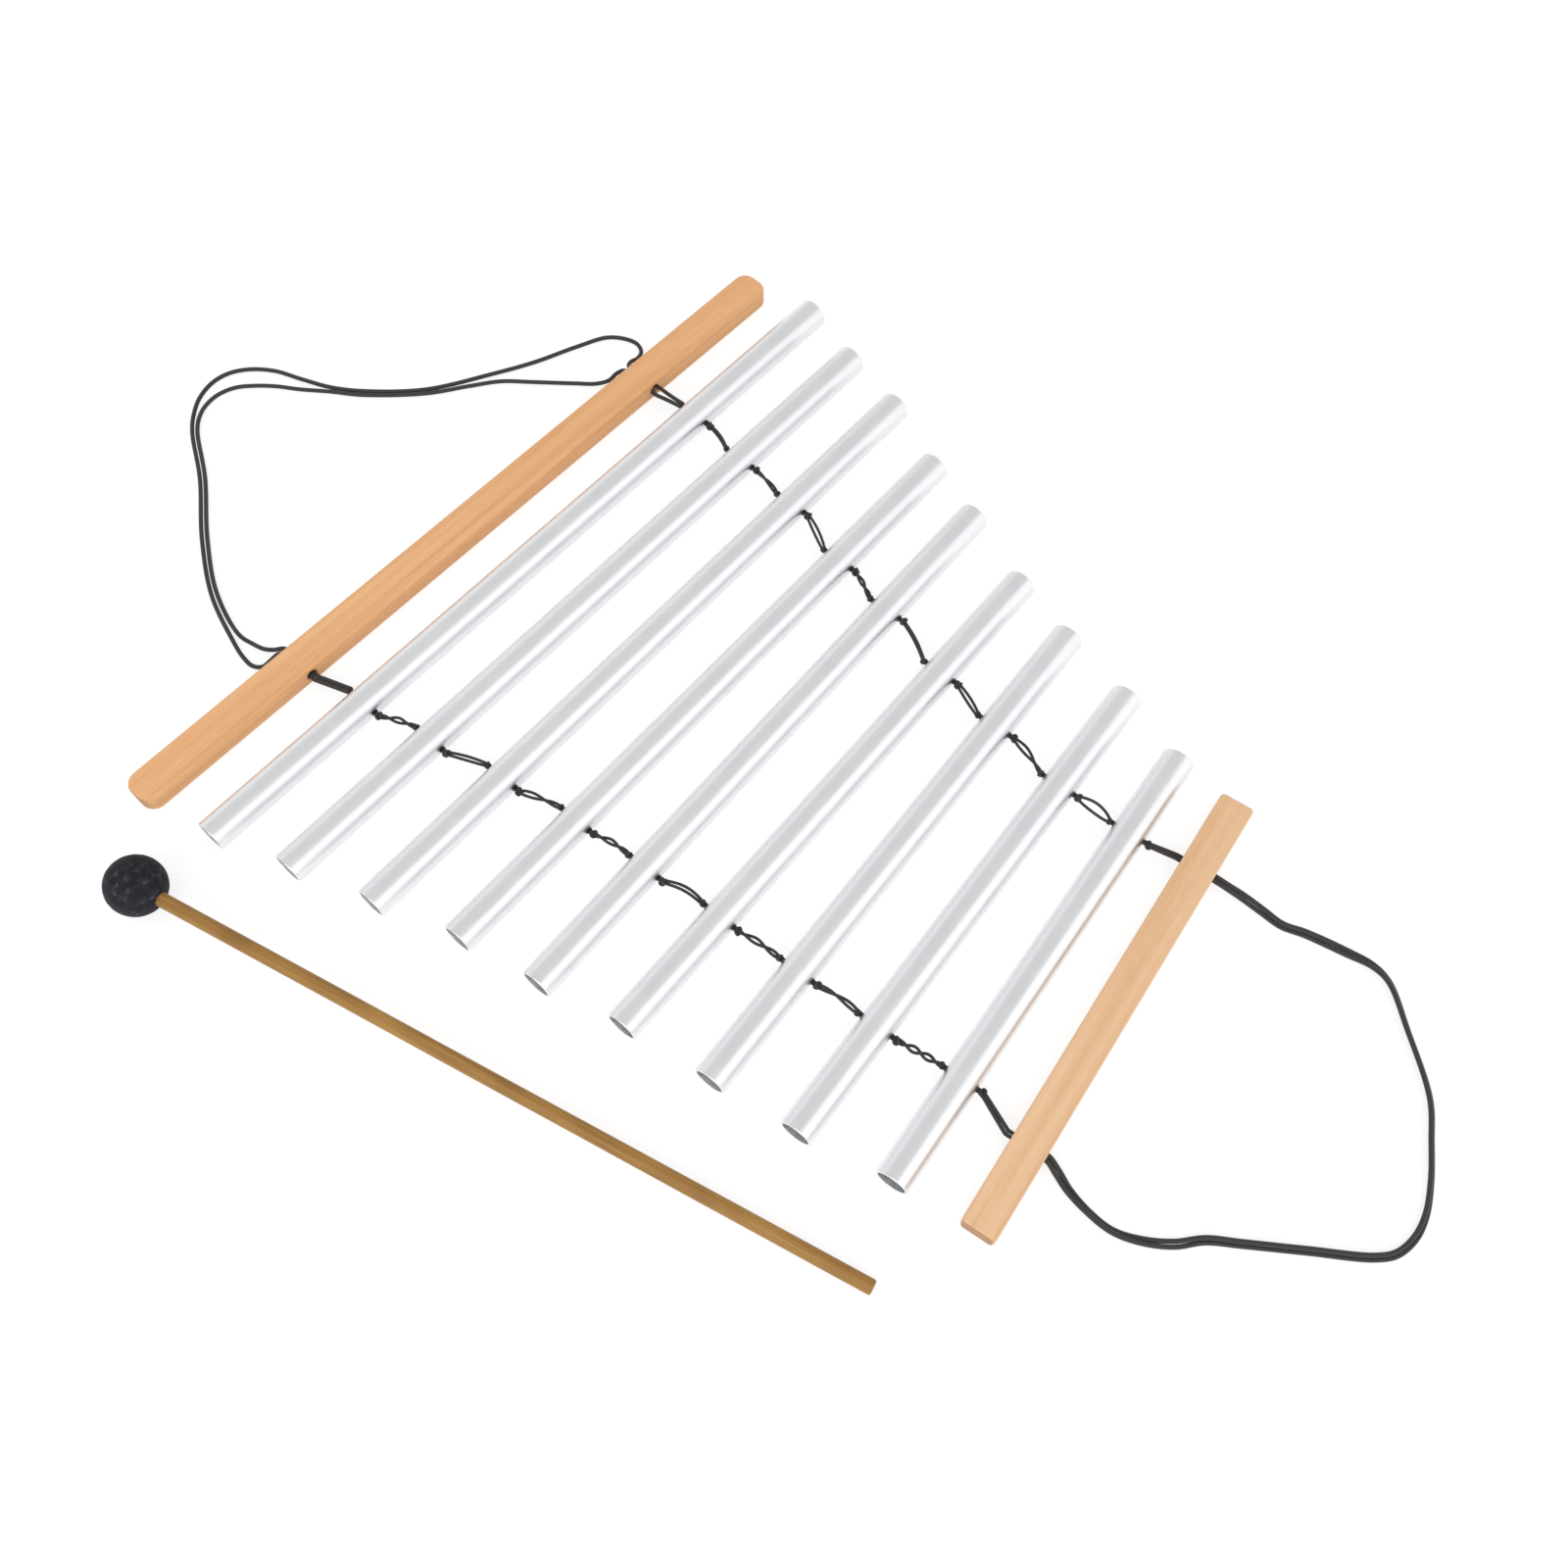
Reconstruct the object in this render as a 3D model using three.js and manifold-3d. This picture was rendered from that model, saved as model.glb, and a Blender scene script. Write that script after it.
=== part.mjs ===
// Handheld tubular chime with its mallet.
// Nine aluminium tubes hang like the rungs of a rope ladder on two doubled cords between two wooden bars.
// Millimetres. +X runs from the long bar to the short bar, +Y along the tubes, +Z up from the table.
// The origin is on the table, in the middle of the footprint of everything but the two carrying loops.
import * as THREE from 'three';
import { mergeVertices } from 'three/addons/utils/BufferGeometryUtils.js';
import Module from 'manifold-3d';

const wasm = await Module();
wasm.setup();

// Tubes: one stock size, cut to the notes of a pentatonic scale
const TUBE_DIAMETER = 14;
const TUBE_WALL = 1;
const TUBE_BEVEL = 0.25;
const LONGEST_TUBE = 368.5;
const SCALE_SEMITONES = [0, 2, 4, 7, 9, 12, 14, 16, 19];
// A free tube stands still at this share of its length from each end, so the cords pass there
const STILL_POINT = 0.224;
// The shortest tube's far hole is drilled nearer to its end than the others
const LAST_FAR_HOLE = 0.19;

// Ladder cords: two strands of twine through every tube, with a knot on each side of it. The stouter
// cord of the loops comes through the bars and reaches to the first and the last tube
const TWINE = { diameter: 1.3, offset: 0.55, turns: 1, steps: 8 };
const DOUBLE_CORD = { diameter: 1.6, offset: 0.7, turns: 0, steps: 1 };
const CORD_HOLE = 3.2;
const LEFT_KNOT = 3.4;
const RIGHT_KNOT = 4.2;
const CLEARANCE = 0.3;
const SPAN_CLEARANCE = 0.35;
// The cord bends this far outside a bar, where a small ball stands in for its bend
const BEND_REACH = 2.5;
const BEND_BALL = 2.6;

// Wooden bars
const BAR_THICKNESS = 10;
const BAR_HOLE = 5;
const LONG_BAR = {
  length: 373,
  width: 16,
  cornerRadius: 6,
  edgeRadius: 1.6,
  nearHole: -100,
  farHole: 108,
};
const SHORT_BAR = {
  length: 206,
  width: 14.5,
  cornerRadius: 1.8,
  edgeRadius: 0.9,
  nearHole: -65,
  farHole: 69.5,
};

// How the ladder lies on the table: for each piece the clear gap to the piece before it, the Y of its
// middle and its turn in degrees
const LONG_BAR_X = -173.44;
const LONG_BAR_LIE = { y: 17.8, turn: -3.4 };
const TUBE_LIES = [
  { gap: 20.1, y: 22.7, turn: -2.8 },
  { gap: 19.3, y: 22.2, turn: -2.5 },
  { gap: 20.6, y: 22.9, turn: -2.0 },
  { gap: 21.7, y: 20.1, turn: -1.7 },
  { gap: 19.5, y: 17.4, turn: -0.5 },
  { gap: 22.8, y: 13.6, turn: -0.5 },
  { gap: 21.6, y: 11.2, turn: 1.4 },
  { gap: 22.7, y: 9.2, turn: 1.9 },
  { gap: 21.9, y: 7.5, turn: 3.5 },
];
const SHORT_BAR_LIE = { gap: 18.0, y: 9.3, turn: 5.1 };

// Carrying loops: a round cord laid double, from one hole of a bar to the other
const LOOP_CORD = 2;
const LOOP_PITCH = LOOP_CORD + CLEARANCE;

// Mallet
const MALLET_HEAD = 25;
const MALLET_SHAFT = 6;
const MALLET_REACH = 325;
const SHAFT_IN_HEAD = 9;
const MALLET_PLACE = { x: -151.0, y: -194.6, heading: 11.2 };

// Facets
const TUBE_SIDES = 20;
const HOLE_SIDES = 10;
const LOBE_POINTS = 4;
const KNOT_SIDES = 8;
const KNOT_RINGS = 4;
const LOOP_SIDES = 8;
const LOOP_STEPS = 50;

const PAINT = {
  aluminium: new THREE.MeshStandardMaterial({ color: 0xcfd0d4, roughness: 0.35, metalness: 1 }),
  longBarWood: new THREE.MeshStandardMaterial({ color: 0xe4b082, roughness: 0.6, metalness: 0 }),
  shortBarWood: new THREE.MeshStandardMaterial({ color: 0xeec498, roughness: 0.6, metalness: 0 }),
  blackTwine: new THREE.MeshStandardMaterial({ color: 0x1c1a1b, roughness: 0.85, metalness: 0 }),
  blackCord: new THREE.MeshStandardMaterial({ color: 0x2d2d2d, roughness: 0.7, metalness: 0 }),
  bamboo: new THREE.MeshStandardMaterial({ color: 0xbe8c46, roughness: 0.5, metalness: 0 }),
  rubber: new THREE.MeshStandardMaterial({ color: 0x282630, roughness: 0.9, metalness: 0 }),
};

// Solids: a closed three.js geometry goes in, and comes back with what was cut or joined

function solidOf(geometry) {
  const bare = geometry.index ? geometry.toNonIndexed() : geometry.clone();
  bare.deleteAttribute('normal');
  bare.deleteAttribute('uv');
  const merged = mergeVertices(bare, 1e-4);
  const vertProperties = new Float32Array(merged.attributes.position.array);
  const triVerts = new Uint32Array(merged.index.array);
  return new wasm.Manifold(new wasm.Mesh({ numProp: 3, vertProperties, triVerts }));
}

function geometryOf(solid) {
  const mesh = solid.getMesh();
  const geometry = new THREE.BufferGeometry();
  geometry.setAttribute('position', new THREE.BufferAttribute(new Float32Array(mesh.vertProperties), 3));
  geometry.setIndex(Array.from(mesh.triVerts));
  geometry.computeVertexNormals();
  return geometry;
}

function joined(geometries) {
  return geometryOf(geometries.map(solidOf).reduce((whole, next) => whole.add(next)));
}

function cut(geometry, cutters) {
  return geometryOf(cutters.map(solidOf).reduce((left, cutter) => left.subtract(cutter), solidOf(geometry)));
}

function piece(parent, name, geometry, material) {
  const mesh = new THREE.Mesh(geometry, material.clone());
  mesh.name = name;
  parent.add(mesh);
  return mesh;
}

// A round section of the given diameter along a curve
function roundCord(curve, diameter, sides, steps) {
  const section = new THREE.Shape();
  for (let i = 0; i < sides; i += 1) {
    const angle = (2 * Math.PI * i) / sides;
    const x = (diameter / 2) * Math.cos(angle);
    const y = (diameter / 2) * Math.sin(angle);
    if (i === 0) section.moveTo(x, y);
    else section.lineTo(x, y);
  }
  section.closePath();
  const settings = { extrudePath: curve, steps, bevelEnabled: false, curveSegments: 1 };
  return new THREE.ExtrudeGeometry(section, settings);
}

// A hole's cutter along X, through everything from one side to the other
function crossDrill(diameter, width, y, z) {
  const drill = new THREE.CylinderGeometry(diameter / 2, diameter / 2, width + 4, HOLE_SIDES);
  drill.rotateZ(Math.PI / 2);
  drill.translate(0, y, z);
  return drill;
}

// Rungs: each tube or bar of the ladder, with its own axes and its two cord holes

function rung(x, lie, height, halfWidth, nearHole, farHole, pivots) {
  const turn = THREE.MathUtils.degToRad(lie.turn);
  return {
    turn,
    centre: new THREE.Vector3(x, lie.y, height),
    across: new THREE.Vector3(Math.cos(turn), Math.sin(turn), 0),
    along: new THREE.Vector3(-Math.sin(turn), Math.cos(turn), 0),
    halfWidth,
    holes: { near: nearHole, far: farHole },
    pivots,
  };
}

function tubeLength(semitones) {
  return LONGEST_TUBE * 2 ** (-semitones / 24);
}

function barRung(bar, x, lie) {
  const bend = { reach: BEND_REACH, ball: BEND_BALL };
  const pivots = { left: bend, right: bend };
  return rung(x, lie, BAR_THICKNESS / 2, bar.width / 2, bar.nearHole, bar.farHole, pivots);
}

function tubeRung(index, x) {
  const length = tubeLength(SCALE_SEMITONES[index]);
  const farShare = index === SCALE_SEMITONES.length - 1 ? LAST_FAR_HOLE : STILL_POINT;
  const pivots = {
    left: { reach: CLEARANCE + LEFT_KNOT / 2, ball: LEFT_KNOT },
    right: { reach: CLEARANCE + RIGHT_KNOT / 2, ball: RIGHT_KNOT },
  };
  const near = -(0.5 - STILL_POINT) * length;
  const far = (0.5 - farShare) * length;
  return rung(x, TUBE_LIES[index], TUBE_DIAMETER / 2, TUBE_DIAMETER / 2, near, far, pivots);
}

function layRungs() {
  const rungs = [barRung(LONG_BAR, LONG_BAR_X, LONG_BAR_LIE)];
  let face = LONG_BAR_X + LONG_BAR.width / 2;
  TUBE_LIES.forEach((lie, index) => {
    rungs.push(tubeRung(index, face + lie.gap + TUBE_DIAMETER / 2));
    face += lie.gap + TUBE_DIAMETER;
  });
  rungs.push(barRung(SHORT_BAR, face + SHORT_BAR_LIE.gap + SHORT_BAR.width / 2, SHORT_BAR_LIE));
  return rungs;
}

function holeCentre(rungAt, end) {
  return rungAt.centre.clone().addScaledVector(rungAt.along, rungAt.holes[end]);
}

// Where the cord beside a rung bends, in the middle of its knot
function bendAt(rungAt, end, side) {
  const sign = side === 'left' ? -1 : 1;
  const out = sign * (rungAt.halfWidth + rungAt.pivots[side].reach);
  return holeCentre(rungAt, end).addScaledVector(rungAt.across, out);
}

function groupAt(rungAt) {
  const group = new THREE.Group();
  group.position.set(rungAt.centre.x, rungAt.centre.y, 0);
  group.rotation.z = rungAt.turn;
  return group;
}

// Tubes

function tubeGeometry(length, rungAt) {
  const outer = TUBE_DIAMETER / 2;
  const inner = outer - TUBE_WALL;
  const half = length / 2;
  const wall = [
    new THREE.Vector2(inner, -half),
    new THREE.Vector2(outer - TUBE_BEVEL, -half),
    new THREE.Vector2(outer, -half + TUBE_BEVEL),
    new THREE.Vector2(outer, half - TUBE_BEVEL),
    new THREE.Vector2(outer - TUBE_BEVEL, half),
    new THREE.Vector2(inner, half),
    new THREE.Vector2(inner, -half),
  ];
  // half a side round, so that a flat of the tube lies on the table
  const tube = new THREE.LatheGeometry(wall, TUBE_SIDES, Math.PI / TUBE_SIDES);
  tube.translate(0, 0, outer);
  const drills = Object.values(rungAt.holes).map((y) => crossDrill(CORD_HOLE, TUBE_DIAMETER, y, outer));
  return cut(tube, drills);
}

// Bars: a batten with rounded corners and eased edges, drilled from side to side

function battenGeometry(bar) {
  const halfWidth = bar.width / 2 - bar.edgeRadius;
  const halfLength = bar.length / 2 - bar.edgeRadius;
  const corner = bar.cornerRadius - bar.edgeRadius;
  const outline = new THREE.Shape();
  outline.moveTo(-halfWidth + corner, -halfLength);
  outline.absarc(halfWidth - corner, -halfLength + corner, corner, -Math.PI / 2, 0);
  outline.absarc(halfWidth - corner, halfLength - corner, corner, 0, Math.PI / 2);
  outline.absarc(-halfWidth + corner, halfLength - corner, corner, Math.PI / 2, Math.PI);
  outline.absarc(-halfWidth + corner, -halfLength + corner, corner, Math.PI, 1.5 * Math.PI);
  const batten = new THREE.ExtrudeGeometry(outline, {
    depth: BAR_THICKNESS - 2 * bar.edgeRadius,
    bevelThickness: bar.edgeRadius,
    bevelSize: bar.edgeRadius,
    bevelSegments: 2,
    curveSegments: 3,
  });
  batten.translate(0, 0, bar.edgeRadius);
  const holes = [bar.nearHole, bar.farHole];
  return cut(batten, holes.map((y) => crossDrill(BAR_HOLE, bar.width, y, BAR_THICKNESS / 2)));
}

// Ladder cords

// The outline of two strands that lie side by side
function pairOutline(cord) {
  const outline = [];
  const sweep = THREE.MathUtils.degToRad(230);
  [1, -1].forEach((side) => {
    for (let i = 0; i < LOBE_POINTS; i += 1) {
      const angle = sweep * (i / (LOBE_POINTS - 1) - 0.5);
      const x = cord.offset + (cord.diameter / 2) * Math.cos(angle);
      const y = (cord.diameter / 2) * Math.sin(angle);
      outline.push(new THREE.Vector2(side * x, side * y));
    }
  });
  return new THREE.Shape(outline);
}

// The two strands from one point to another; they start side by side on the level and wind round each other
function strandPair(cord, from, to, turns, steps) {
  const length = from.distanceTo(to);
  const pair = new THREE.ExtrudeGeometry(pairOutline(cord), { depth: length, steps, bevelEnabled: false });
  const position = pair.attributes.position;
  const point = new THREE.Vector3();
  const lengthwise = new THREE.Vector3(0, 0, 1);
  for (let i = 0; i < position.count; i += 1) {
    point.fromBufferAttribute(position, i);
    point.applyAxisAngle(lengthwise, (2 * Math.PI * turns * point.z) / length);
    position.setXYZ(i, point.x, point.y, point.z);
  }
  const direction = to.clone().sub(from).normalize();
  const level = new THREE.Vector3(-direction.y, direction.x, 0).normalize();
  const upright = new THREE.Vector3().crossVectors(direction, level);
  pair.applyMatrix4(new THREE.Matrix4().makeBasis(level, upright, direction).setPosition(from));
  return pair;
}

// A knot is round, so that the next span can swing about its middle
function knotAt(centre, diameter) {
  const knot = new THREE.SphereGeometry(diameter / 2, KNOT_SIDES, KNOT_RINGS);
  knot.translate(centre.x, centre.y, centre.z);
  return knot;
}

// The cord inside a tube, with the knot on each side that keeps the tube in its place
function knotsOfTube(rungAt, end) {
  const left = bendAt(rungAt, end, 'left');
  const right = bendAt(rungAt, end, 'right');
  return joined([strandPair(TWINE, left, right, 0, 1), knotAt(left, LEFT_KNOT), knotAt(right, RIGHT_KNOT)]);
}

// The cord inside a bar, from the end of the loop to its bend outside the face that looks at the tubes
function cordInBar(rungAt, end, side) {
  const bend = bendAt(rungAt, end, side);
  const sign = side === 'left' ? -1 : 1;
  const middle = holeCentre(rungAt, end).addScaledVector(rungAt.across, (sign * CLEARANCE) / 2);
  return joined([strandPair(DOUBLE_CORD, middle, bend, 0, 1), knotAt(bend, BEND_BALL)]);
}

// The cord across a gap, between the bend at the rung on its left and the bend at the rung on its right
function spanGeometry(cord, left, right, end) {
  const from = bendAt(left, end, 'right');
  const to = bendAt(right, end, 'left');
  const direction = to.clone().sub(from).normalize();
  from.addScaledVector(direction, left.pivots.right.ball / 2 + SPAN_CLEARANCE);
  to.addScaledVector(direction, -right.pivots.left.ball / 2 - SPAN_CLEARANCE);
  return strandPair(cord, from, to, cord.turns, cord.steps);
}

// Carrying loops: two strands from the far hole of a bar round to its near hole, mostly lying on the table

const LONG_LOOP_OUTER = [
  [-178.0, 128.0, 4.7], [-179.6, 131.2, 3.6], [-179.6, 135.6, 2.0], [-181.2, 140.2, 1.2],
  [-185.6, 142.6, 1.2], [-192.0, 141.6, 1.2], [-199.8, 136.6, 1.2], [-207.2, 123.4, 1.2],
  [-216.6, 103.6, 1.2], [-227.4, 85.6, 1.2], [-245.2, 59.4, 1.2], [-267.0, 40.5, 1.2],
  [-280.6, 32.3, 1.2], [-295.4, 26.8, 1.2], [-308.4, 22.4, 1.2], [-318.4, 15.6, 1.2],
  [-324.4, 7.6, 1.2], [-326.2, -1.0, 1.2], [-324.2, -10.6, 1.2], [-319.4, -18.6, 1.2],
  [-312.1, -26.3, 1.2], [-289.0, -42.3, 1.2], [-263.1, -64.3, 1.2], [-237.8, -81.5, 1.2],
  [-214.0, -91.2, 1.2], [-203.4, -94.4, 1.2], [-196.8, -94.8, 1.2], [-192.8, -92.4, 1.9],
  [-191.6, -88.4, 3.2], [-190.6, -84.8, 4.5],
];

const LONG_LOOP_INNER = [
  [-178.2, 124.4, 4.7], [-180.2, 121.4, 3.6], [-181.2, 117.4, 2.0], [-185.0, 112.6, 1.2],
  [-193.4, 106.0, 1.2], [-208.4, 94.8, 1.2], [-221.0, 85.2, 1.2], [-230.6, 73.8, 1.2],
  [-243.4, 57.8, 1.2], [-265.6, 38.6, 1.2], [-279.2, 30.2, 1.2], [-291.2, 22.2, 1.2],
  [-301.2, 16.4, 1.2], [-309.4, 10.2, 1.2], [-315.8, 3.4, 1.2], [-318.8, -4.6, 1.2],
  [-318.4, -12.4, 1.2], [-315.8, -18.4, 1.2], [-310.5, -24.5, 1.2], [-287.6, -40.4, 1.2],
  [-261.5, -62.5, 1.2], [-236.8, -79.3, 1.2], [-213.2, -87.8, 1.2], [-205.0, -87.2, 1.2],
  [-199.0, -86.0, 1.7], [-194.4, -83.8, 3.0], [-191.0, -81.4, 4.5],
];

// The line between the strands, with the pair's roll in degrees as a fourth number: at 0 they lie side
// by side, with a positive roll the outer strand rests on the inner one, with a negative roll under it
const SHORT_LOOP_MIDDLE = [
  [183.4, 79.8, 4.2, 0], [190.0, 81.0, 1.9, 15], [199.5, 80.8, 1.2, 40],
  [208.7, 80.4, 1.2, 58], [217.7, 83.2, 1.2, 50], [234.7, 87.0, 1.2, 5],
  [245.5, 88.4, 1.2, -30], [253.5, 86.4, 1.2, -50], [268.7, 73.8, 1.2, -60],
  [288.6, 55.4, 1.2, -60], [297.0, 41.4, 1.2, -62], [304.2, 28.0, 1.2, -60],
  [308.8, 16.0, 1.2, -52], [309.8, 6.4, 1.2, -42], [307.5, -2.6, 1.2, -42],
  [302.0, -8.8, 1.2, -46], [281.7, -22.2, 1.2, -50], [261.7, -35.2, 1.2, -46],
  [251.0, -42.2, 1.2, -36], [243.0, -50.4, 1.2, -10], [233.0, -57.0, 1.2, 22],
  [222.7, -60.8, 1.2, 42], [211.7, -60.6, 1.2, 40], [202.0, -58.6, 1.4, 22],
  [195.6, -56.4, 3.2, 0],
];

function vectors(route) {
  return route.map(([x, y, z]) => new THREE.Vector3(x, y, z));
}

// One strand of the rolled pair: side is 1 for the outer one and -1 for the inner one
function strandOfPair(route, side) {
  const line = vectors(route);
  return line.map((point, i) => {
    const ahead = line[Math.min(i + 1, line.length - 1)].clone().sub(line[Math.max(i - 1, 0)]);
    const sideways = new THREE.Vector3(-ahead.y, ahead.x, 0).normalize();
    const roll = THREE.MathUtils.degToRad(route[i][3]);
    const strand = point.clone().addScaledVector(sideways, (side * LOOP_PITCH * Math.cos(roll)) / 2);
    strand.z += Math.max(0, side * Math.sin(roll)) * LOOP_PITCH;
    return strand;
  });
}

// One strand: from inside the bar, out of its far hole, along the line and in again at its near hole.
// outward is 1 where the loop leaves the bar towards +X, and spacing puts the strand to one side of its mate
function loopStrand(line, rungAt, outward, spacing) {
  const ends = ['far', 'near'].map((end) => {
    const sign = end === 'far' ? 1 : -1;
    const inside = holeCentre(rungAt, end).addScaledVector(rungAt.along, sign * spacing);
    return {
      stop: inside.clone().addScaledVector(rungAt.across, (outward * CLEARANCE) / 2),
      mouth: inside.clone().addScaledVector(rungAt.across, outward * (rungAt.halfWidth + 0.5)),
    };
  });
  const points = [ends[0].stop, ends[0].mouth, ...line, ends[1].mouth, ends[1].stop];
  const curve = new THREE.CatmullRomCurve3(points, false, 'centripetal');
  // the tube's steps follow the points, which lie closer together where the cord bends
  curve.getUtoTmapping = (share) => share;
  return curve;
}

// Mallet: a rubber ball on a bamboo shaft, laid down with the tail of the shaft on the table

function malletHead() {
  const radius = MALLET_HEAD / 2;
  const bore = MALLET_SHAFT / 2 + CLEARANCE;
  const mouth = Math.sqrt(radius ** 2 - bore ** 2);
  const bottom = mouth - SHAFT_IN_HEAD - CLEARANCE;
  const profile = [new THREE.Vector2(0, -radius)];
  const rings = 10;
  const last = Math.acos(-mouth / radius);
  for (let i = 1; i < rings; i += 1) {
    const angle = (last * i) / rings;
    profile.push(new THREE.Vector2(radius * Math.sin(angle), -radius * Math.cos(angle)));
  }
  profile.push(new THREE.Vector2(bore, mouth));
  profile.push(new THREE.Vector2(bore, bottom));
  profile.push(new THREE.Vector2(0, bottom));
  return new THREE.LatheGeometry(profile, 20);
}

function malletShaft() {
  const radius = MALLET_SHAFT / 2;
  const headEnd = Math.sqrt((MALLET_HEAD / 2) ** 2 - (radius + CLEARANCE) ** 2) - SHAFT_IN_HEAD;
  const round = 0.8;
  const profile = [
    new THREE.Vector2(0, headEnd),
    new THREE.Vector2(radius - round / 2, headEnd),
    new THREE.Vector2(radius, headEnd + round / 2),
    new THREE.Vector2(radius, MALLET_REACH - round),
    new THREE.Vector2(radius - round * 0.3, MALLET_REACH - round * 0.3),
    new THREE.Vector2(radius - round, MALLET_REACH),
    new THREE.Vector2(0, MALLET_REACH),
  ];
  return new THREE.LatheGeometry(profile, 16);
}

function layMallet(parent) {
  const mallet = new THREE.Group();
  const drop = (MALLET_HEAD - MALLET_SHAFT) / 2;
  mallet.rotation.order = 'ZXY';
  mallet.rotation.z = THREE.MathUtils.degToRad(MALLET_PLACE.heading - 90);
  mallet.rotation.x = -Math.asin(drop / MALLET_REACH);
  mallet.position.set(MALLET_PLACE.x, MALLET_PLACE.y, MALLET_HEAD / 2);
  piece(mallet, 'mallet_head', malletHead(), PAINT.rubber);
  piece(mallet, 'mallet_shaft', malletShaft(), PAINT.bamboo);
  parent.add(mallet);
}

// Assembly

function layBar(parent, name, bar, rungAt, side, paint) {
  const group = groupAt(rungAt);
  piece(group, name, battenGeometry(bar), paint);
  piece(parent, `${name}_near_cord`, cordInBar(rungAt, 'near', side), PAINT.blackCord);
  piece(parent, `${name}_far_cord`, cordInBar(rungAt, 'far', side), PAINT.blackCord);
  parent.add(group);
}

function layTube(parent, index, rungAt) {
  const group = groupAt(rungAt);
  const length = tubeLength(SCALE_SEMITONES[index]);
  piece(group, `tube_${index + 1}`, tubeGeometry(length, rungAt), PAINT.aluminium);
  piece(parent, `tube_${index + 1}_near_knots`, knotsOfTube(rungAt, 'near'), PAINT.blackTwine);
  piece(parent, `tube_${index + 1}_far_knots`, knotsOfTube(rungAt, 'far'), PAINT.blackTwine);
  parent.add(group);
}

function layCords(parent, gap, left, right) {
  const besideBar = left === longBar || right === shortBar;
  const cord = besideBar ? DOUBLE_CORD : TWINE;
  const paint = besideBar ? PAINT.blackCord : PAINT.blackTwine;
  piece(parent, `near_cord_${gap}`, spanGeometry(cord, left, right, 'near'), paint);
  piece(parent, `far_cord_${gap}`, spanGeometry(cord, left, right, 'far'), paint);
}

function layStrand(parent, name, line, rungAt, outward, spacing) {
  const curve = loopStrand(line, rungAt, outward, spacing);
  piece(parent, name, roundCord(curve, LOOP_CORD, LOOP_SIDES, LOOP_STEPS), PAINT.blackCord);
}

const chime = new THREE.Group();
const rungs = layRungs();
const longBar = rungs[0];
const shortBar = rungs[rungs.length - 1];

layBar(chime, 'long_bar', LONG_BAR, longBar, 'right', PAINT.longBarWood);
rungs.slice(1, -1).forEach((rungAt, index) => layTube(chime, index, rungAt));
layBar(chime, 'short_bar', SHORT_BAR, shortBar, 'left', PAINT.shortBarWood);
rungs.slice(1).forEach((right, index) => layCords(chime, index + 1, rungs[index], right));
layStrand(chime, 'long_loop_outer', vectors(LONG_LOOP_OUTER), longBar, -1, LOOP_PITCH / 2);
layStrand(chime, 'long_loop_inner', vectors(LONG_LOOP_INNER), longBar, -1, -LOOP_PITCH / 2);
layStrand(chime, 'short_loop_outer', strandOfPair(SHORT_LOOP_MIDDLE, 1), shortBar, 1, LOOP_PITCH / 2);
layStrand(chime, 'short_loop_inner', strandOfPair(SHORT_LOOP_MIDDLE, -1), shortBar, 1, -LOOP_PITCH / 2);
layMallet(chime);

export default chime;
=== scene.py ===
# %% [markdown]
# # A handheld tubular chime with its mallet
# Nine aluminium tubes are strung like the rungs of a rope ladder between two wooden bars, and a
# loop of cord at each end carries them. A rubber-headed mallet lies beside them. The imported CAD
# model gives every piece its place, its size and the body that it moves with. This script dresses
# that frame with finer shapes and with materials. It works in metres, with Z up.

# %% Load the frame
import math

import bmesh
import bpy
import numpy as np
from mathutils import Matrix, Vector, noise


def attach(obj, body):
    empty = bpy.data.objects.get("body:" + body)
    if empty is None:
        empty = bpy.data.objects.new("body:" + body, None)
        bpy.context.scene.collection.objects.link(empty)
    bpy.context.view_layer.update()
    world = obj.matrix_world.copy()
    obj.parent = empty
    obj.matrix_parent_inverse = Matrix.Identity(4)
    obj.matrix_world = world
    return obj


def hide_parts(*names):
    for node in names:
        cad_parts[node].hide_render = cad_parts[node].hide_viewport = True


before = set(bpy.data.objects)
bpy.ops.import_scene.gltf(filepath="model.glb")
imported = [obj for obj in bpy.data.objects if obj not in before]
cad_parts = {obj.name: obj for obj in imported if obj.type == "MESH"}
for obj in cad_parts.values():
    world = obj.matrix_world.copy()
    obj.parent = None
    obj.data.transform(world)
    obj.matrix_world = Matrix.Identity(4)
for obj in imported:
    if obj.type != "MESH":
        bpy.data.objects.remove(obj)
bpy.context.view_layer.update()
MM = 0.001

# %% [markdown]
# ## The camera
# The photograph looks down at the chime at a steep angle, from beyond the near end of the short
# bar. The tubes get smaller towards the far end only a little, so the lens is a normal one. Its
# place was solved from the tube ends, whose real spacing is known once the tubes' lengths are.

# %% Place the camera
CAMERA_PLACE = Vector((198.5, -220.5, 596.0)) * MM
CAMERA_LOOK = Vector((-0.2759, 0.3407, -0.8988))
CAMERA_LENS = 36.7
NEAREST_SEEN = 0.01

camera_data = bpy.data.cameras.new("camera")
camera_data.lens = CAMERA_LENS
camera_data.clip_start = NEAREST_SEEN
camera = bpy.data.objects.new("camera", camera_data)
camera.location = CAMERA_PLACE
camera.rotation_euler = CAMERA_LOOK.to_track_quat("-Z", "Y").to_euler()
bpy.context.collection.objects.link(camera)
bpy.context.scene.camera = camera
print("camera height in mm:", round(camera.location.z / MM))

# %% [markdown]
# ## Where the rungs lie
# A rung is a tube or a bar. Each lies on the table with its middle at one place and is turned a
# little from the next, as the ladder was laid down by hand. The cords cross every rung at two
# holes. These sizes are the ones that the CAD model is built from.

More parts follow.
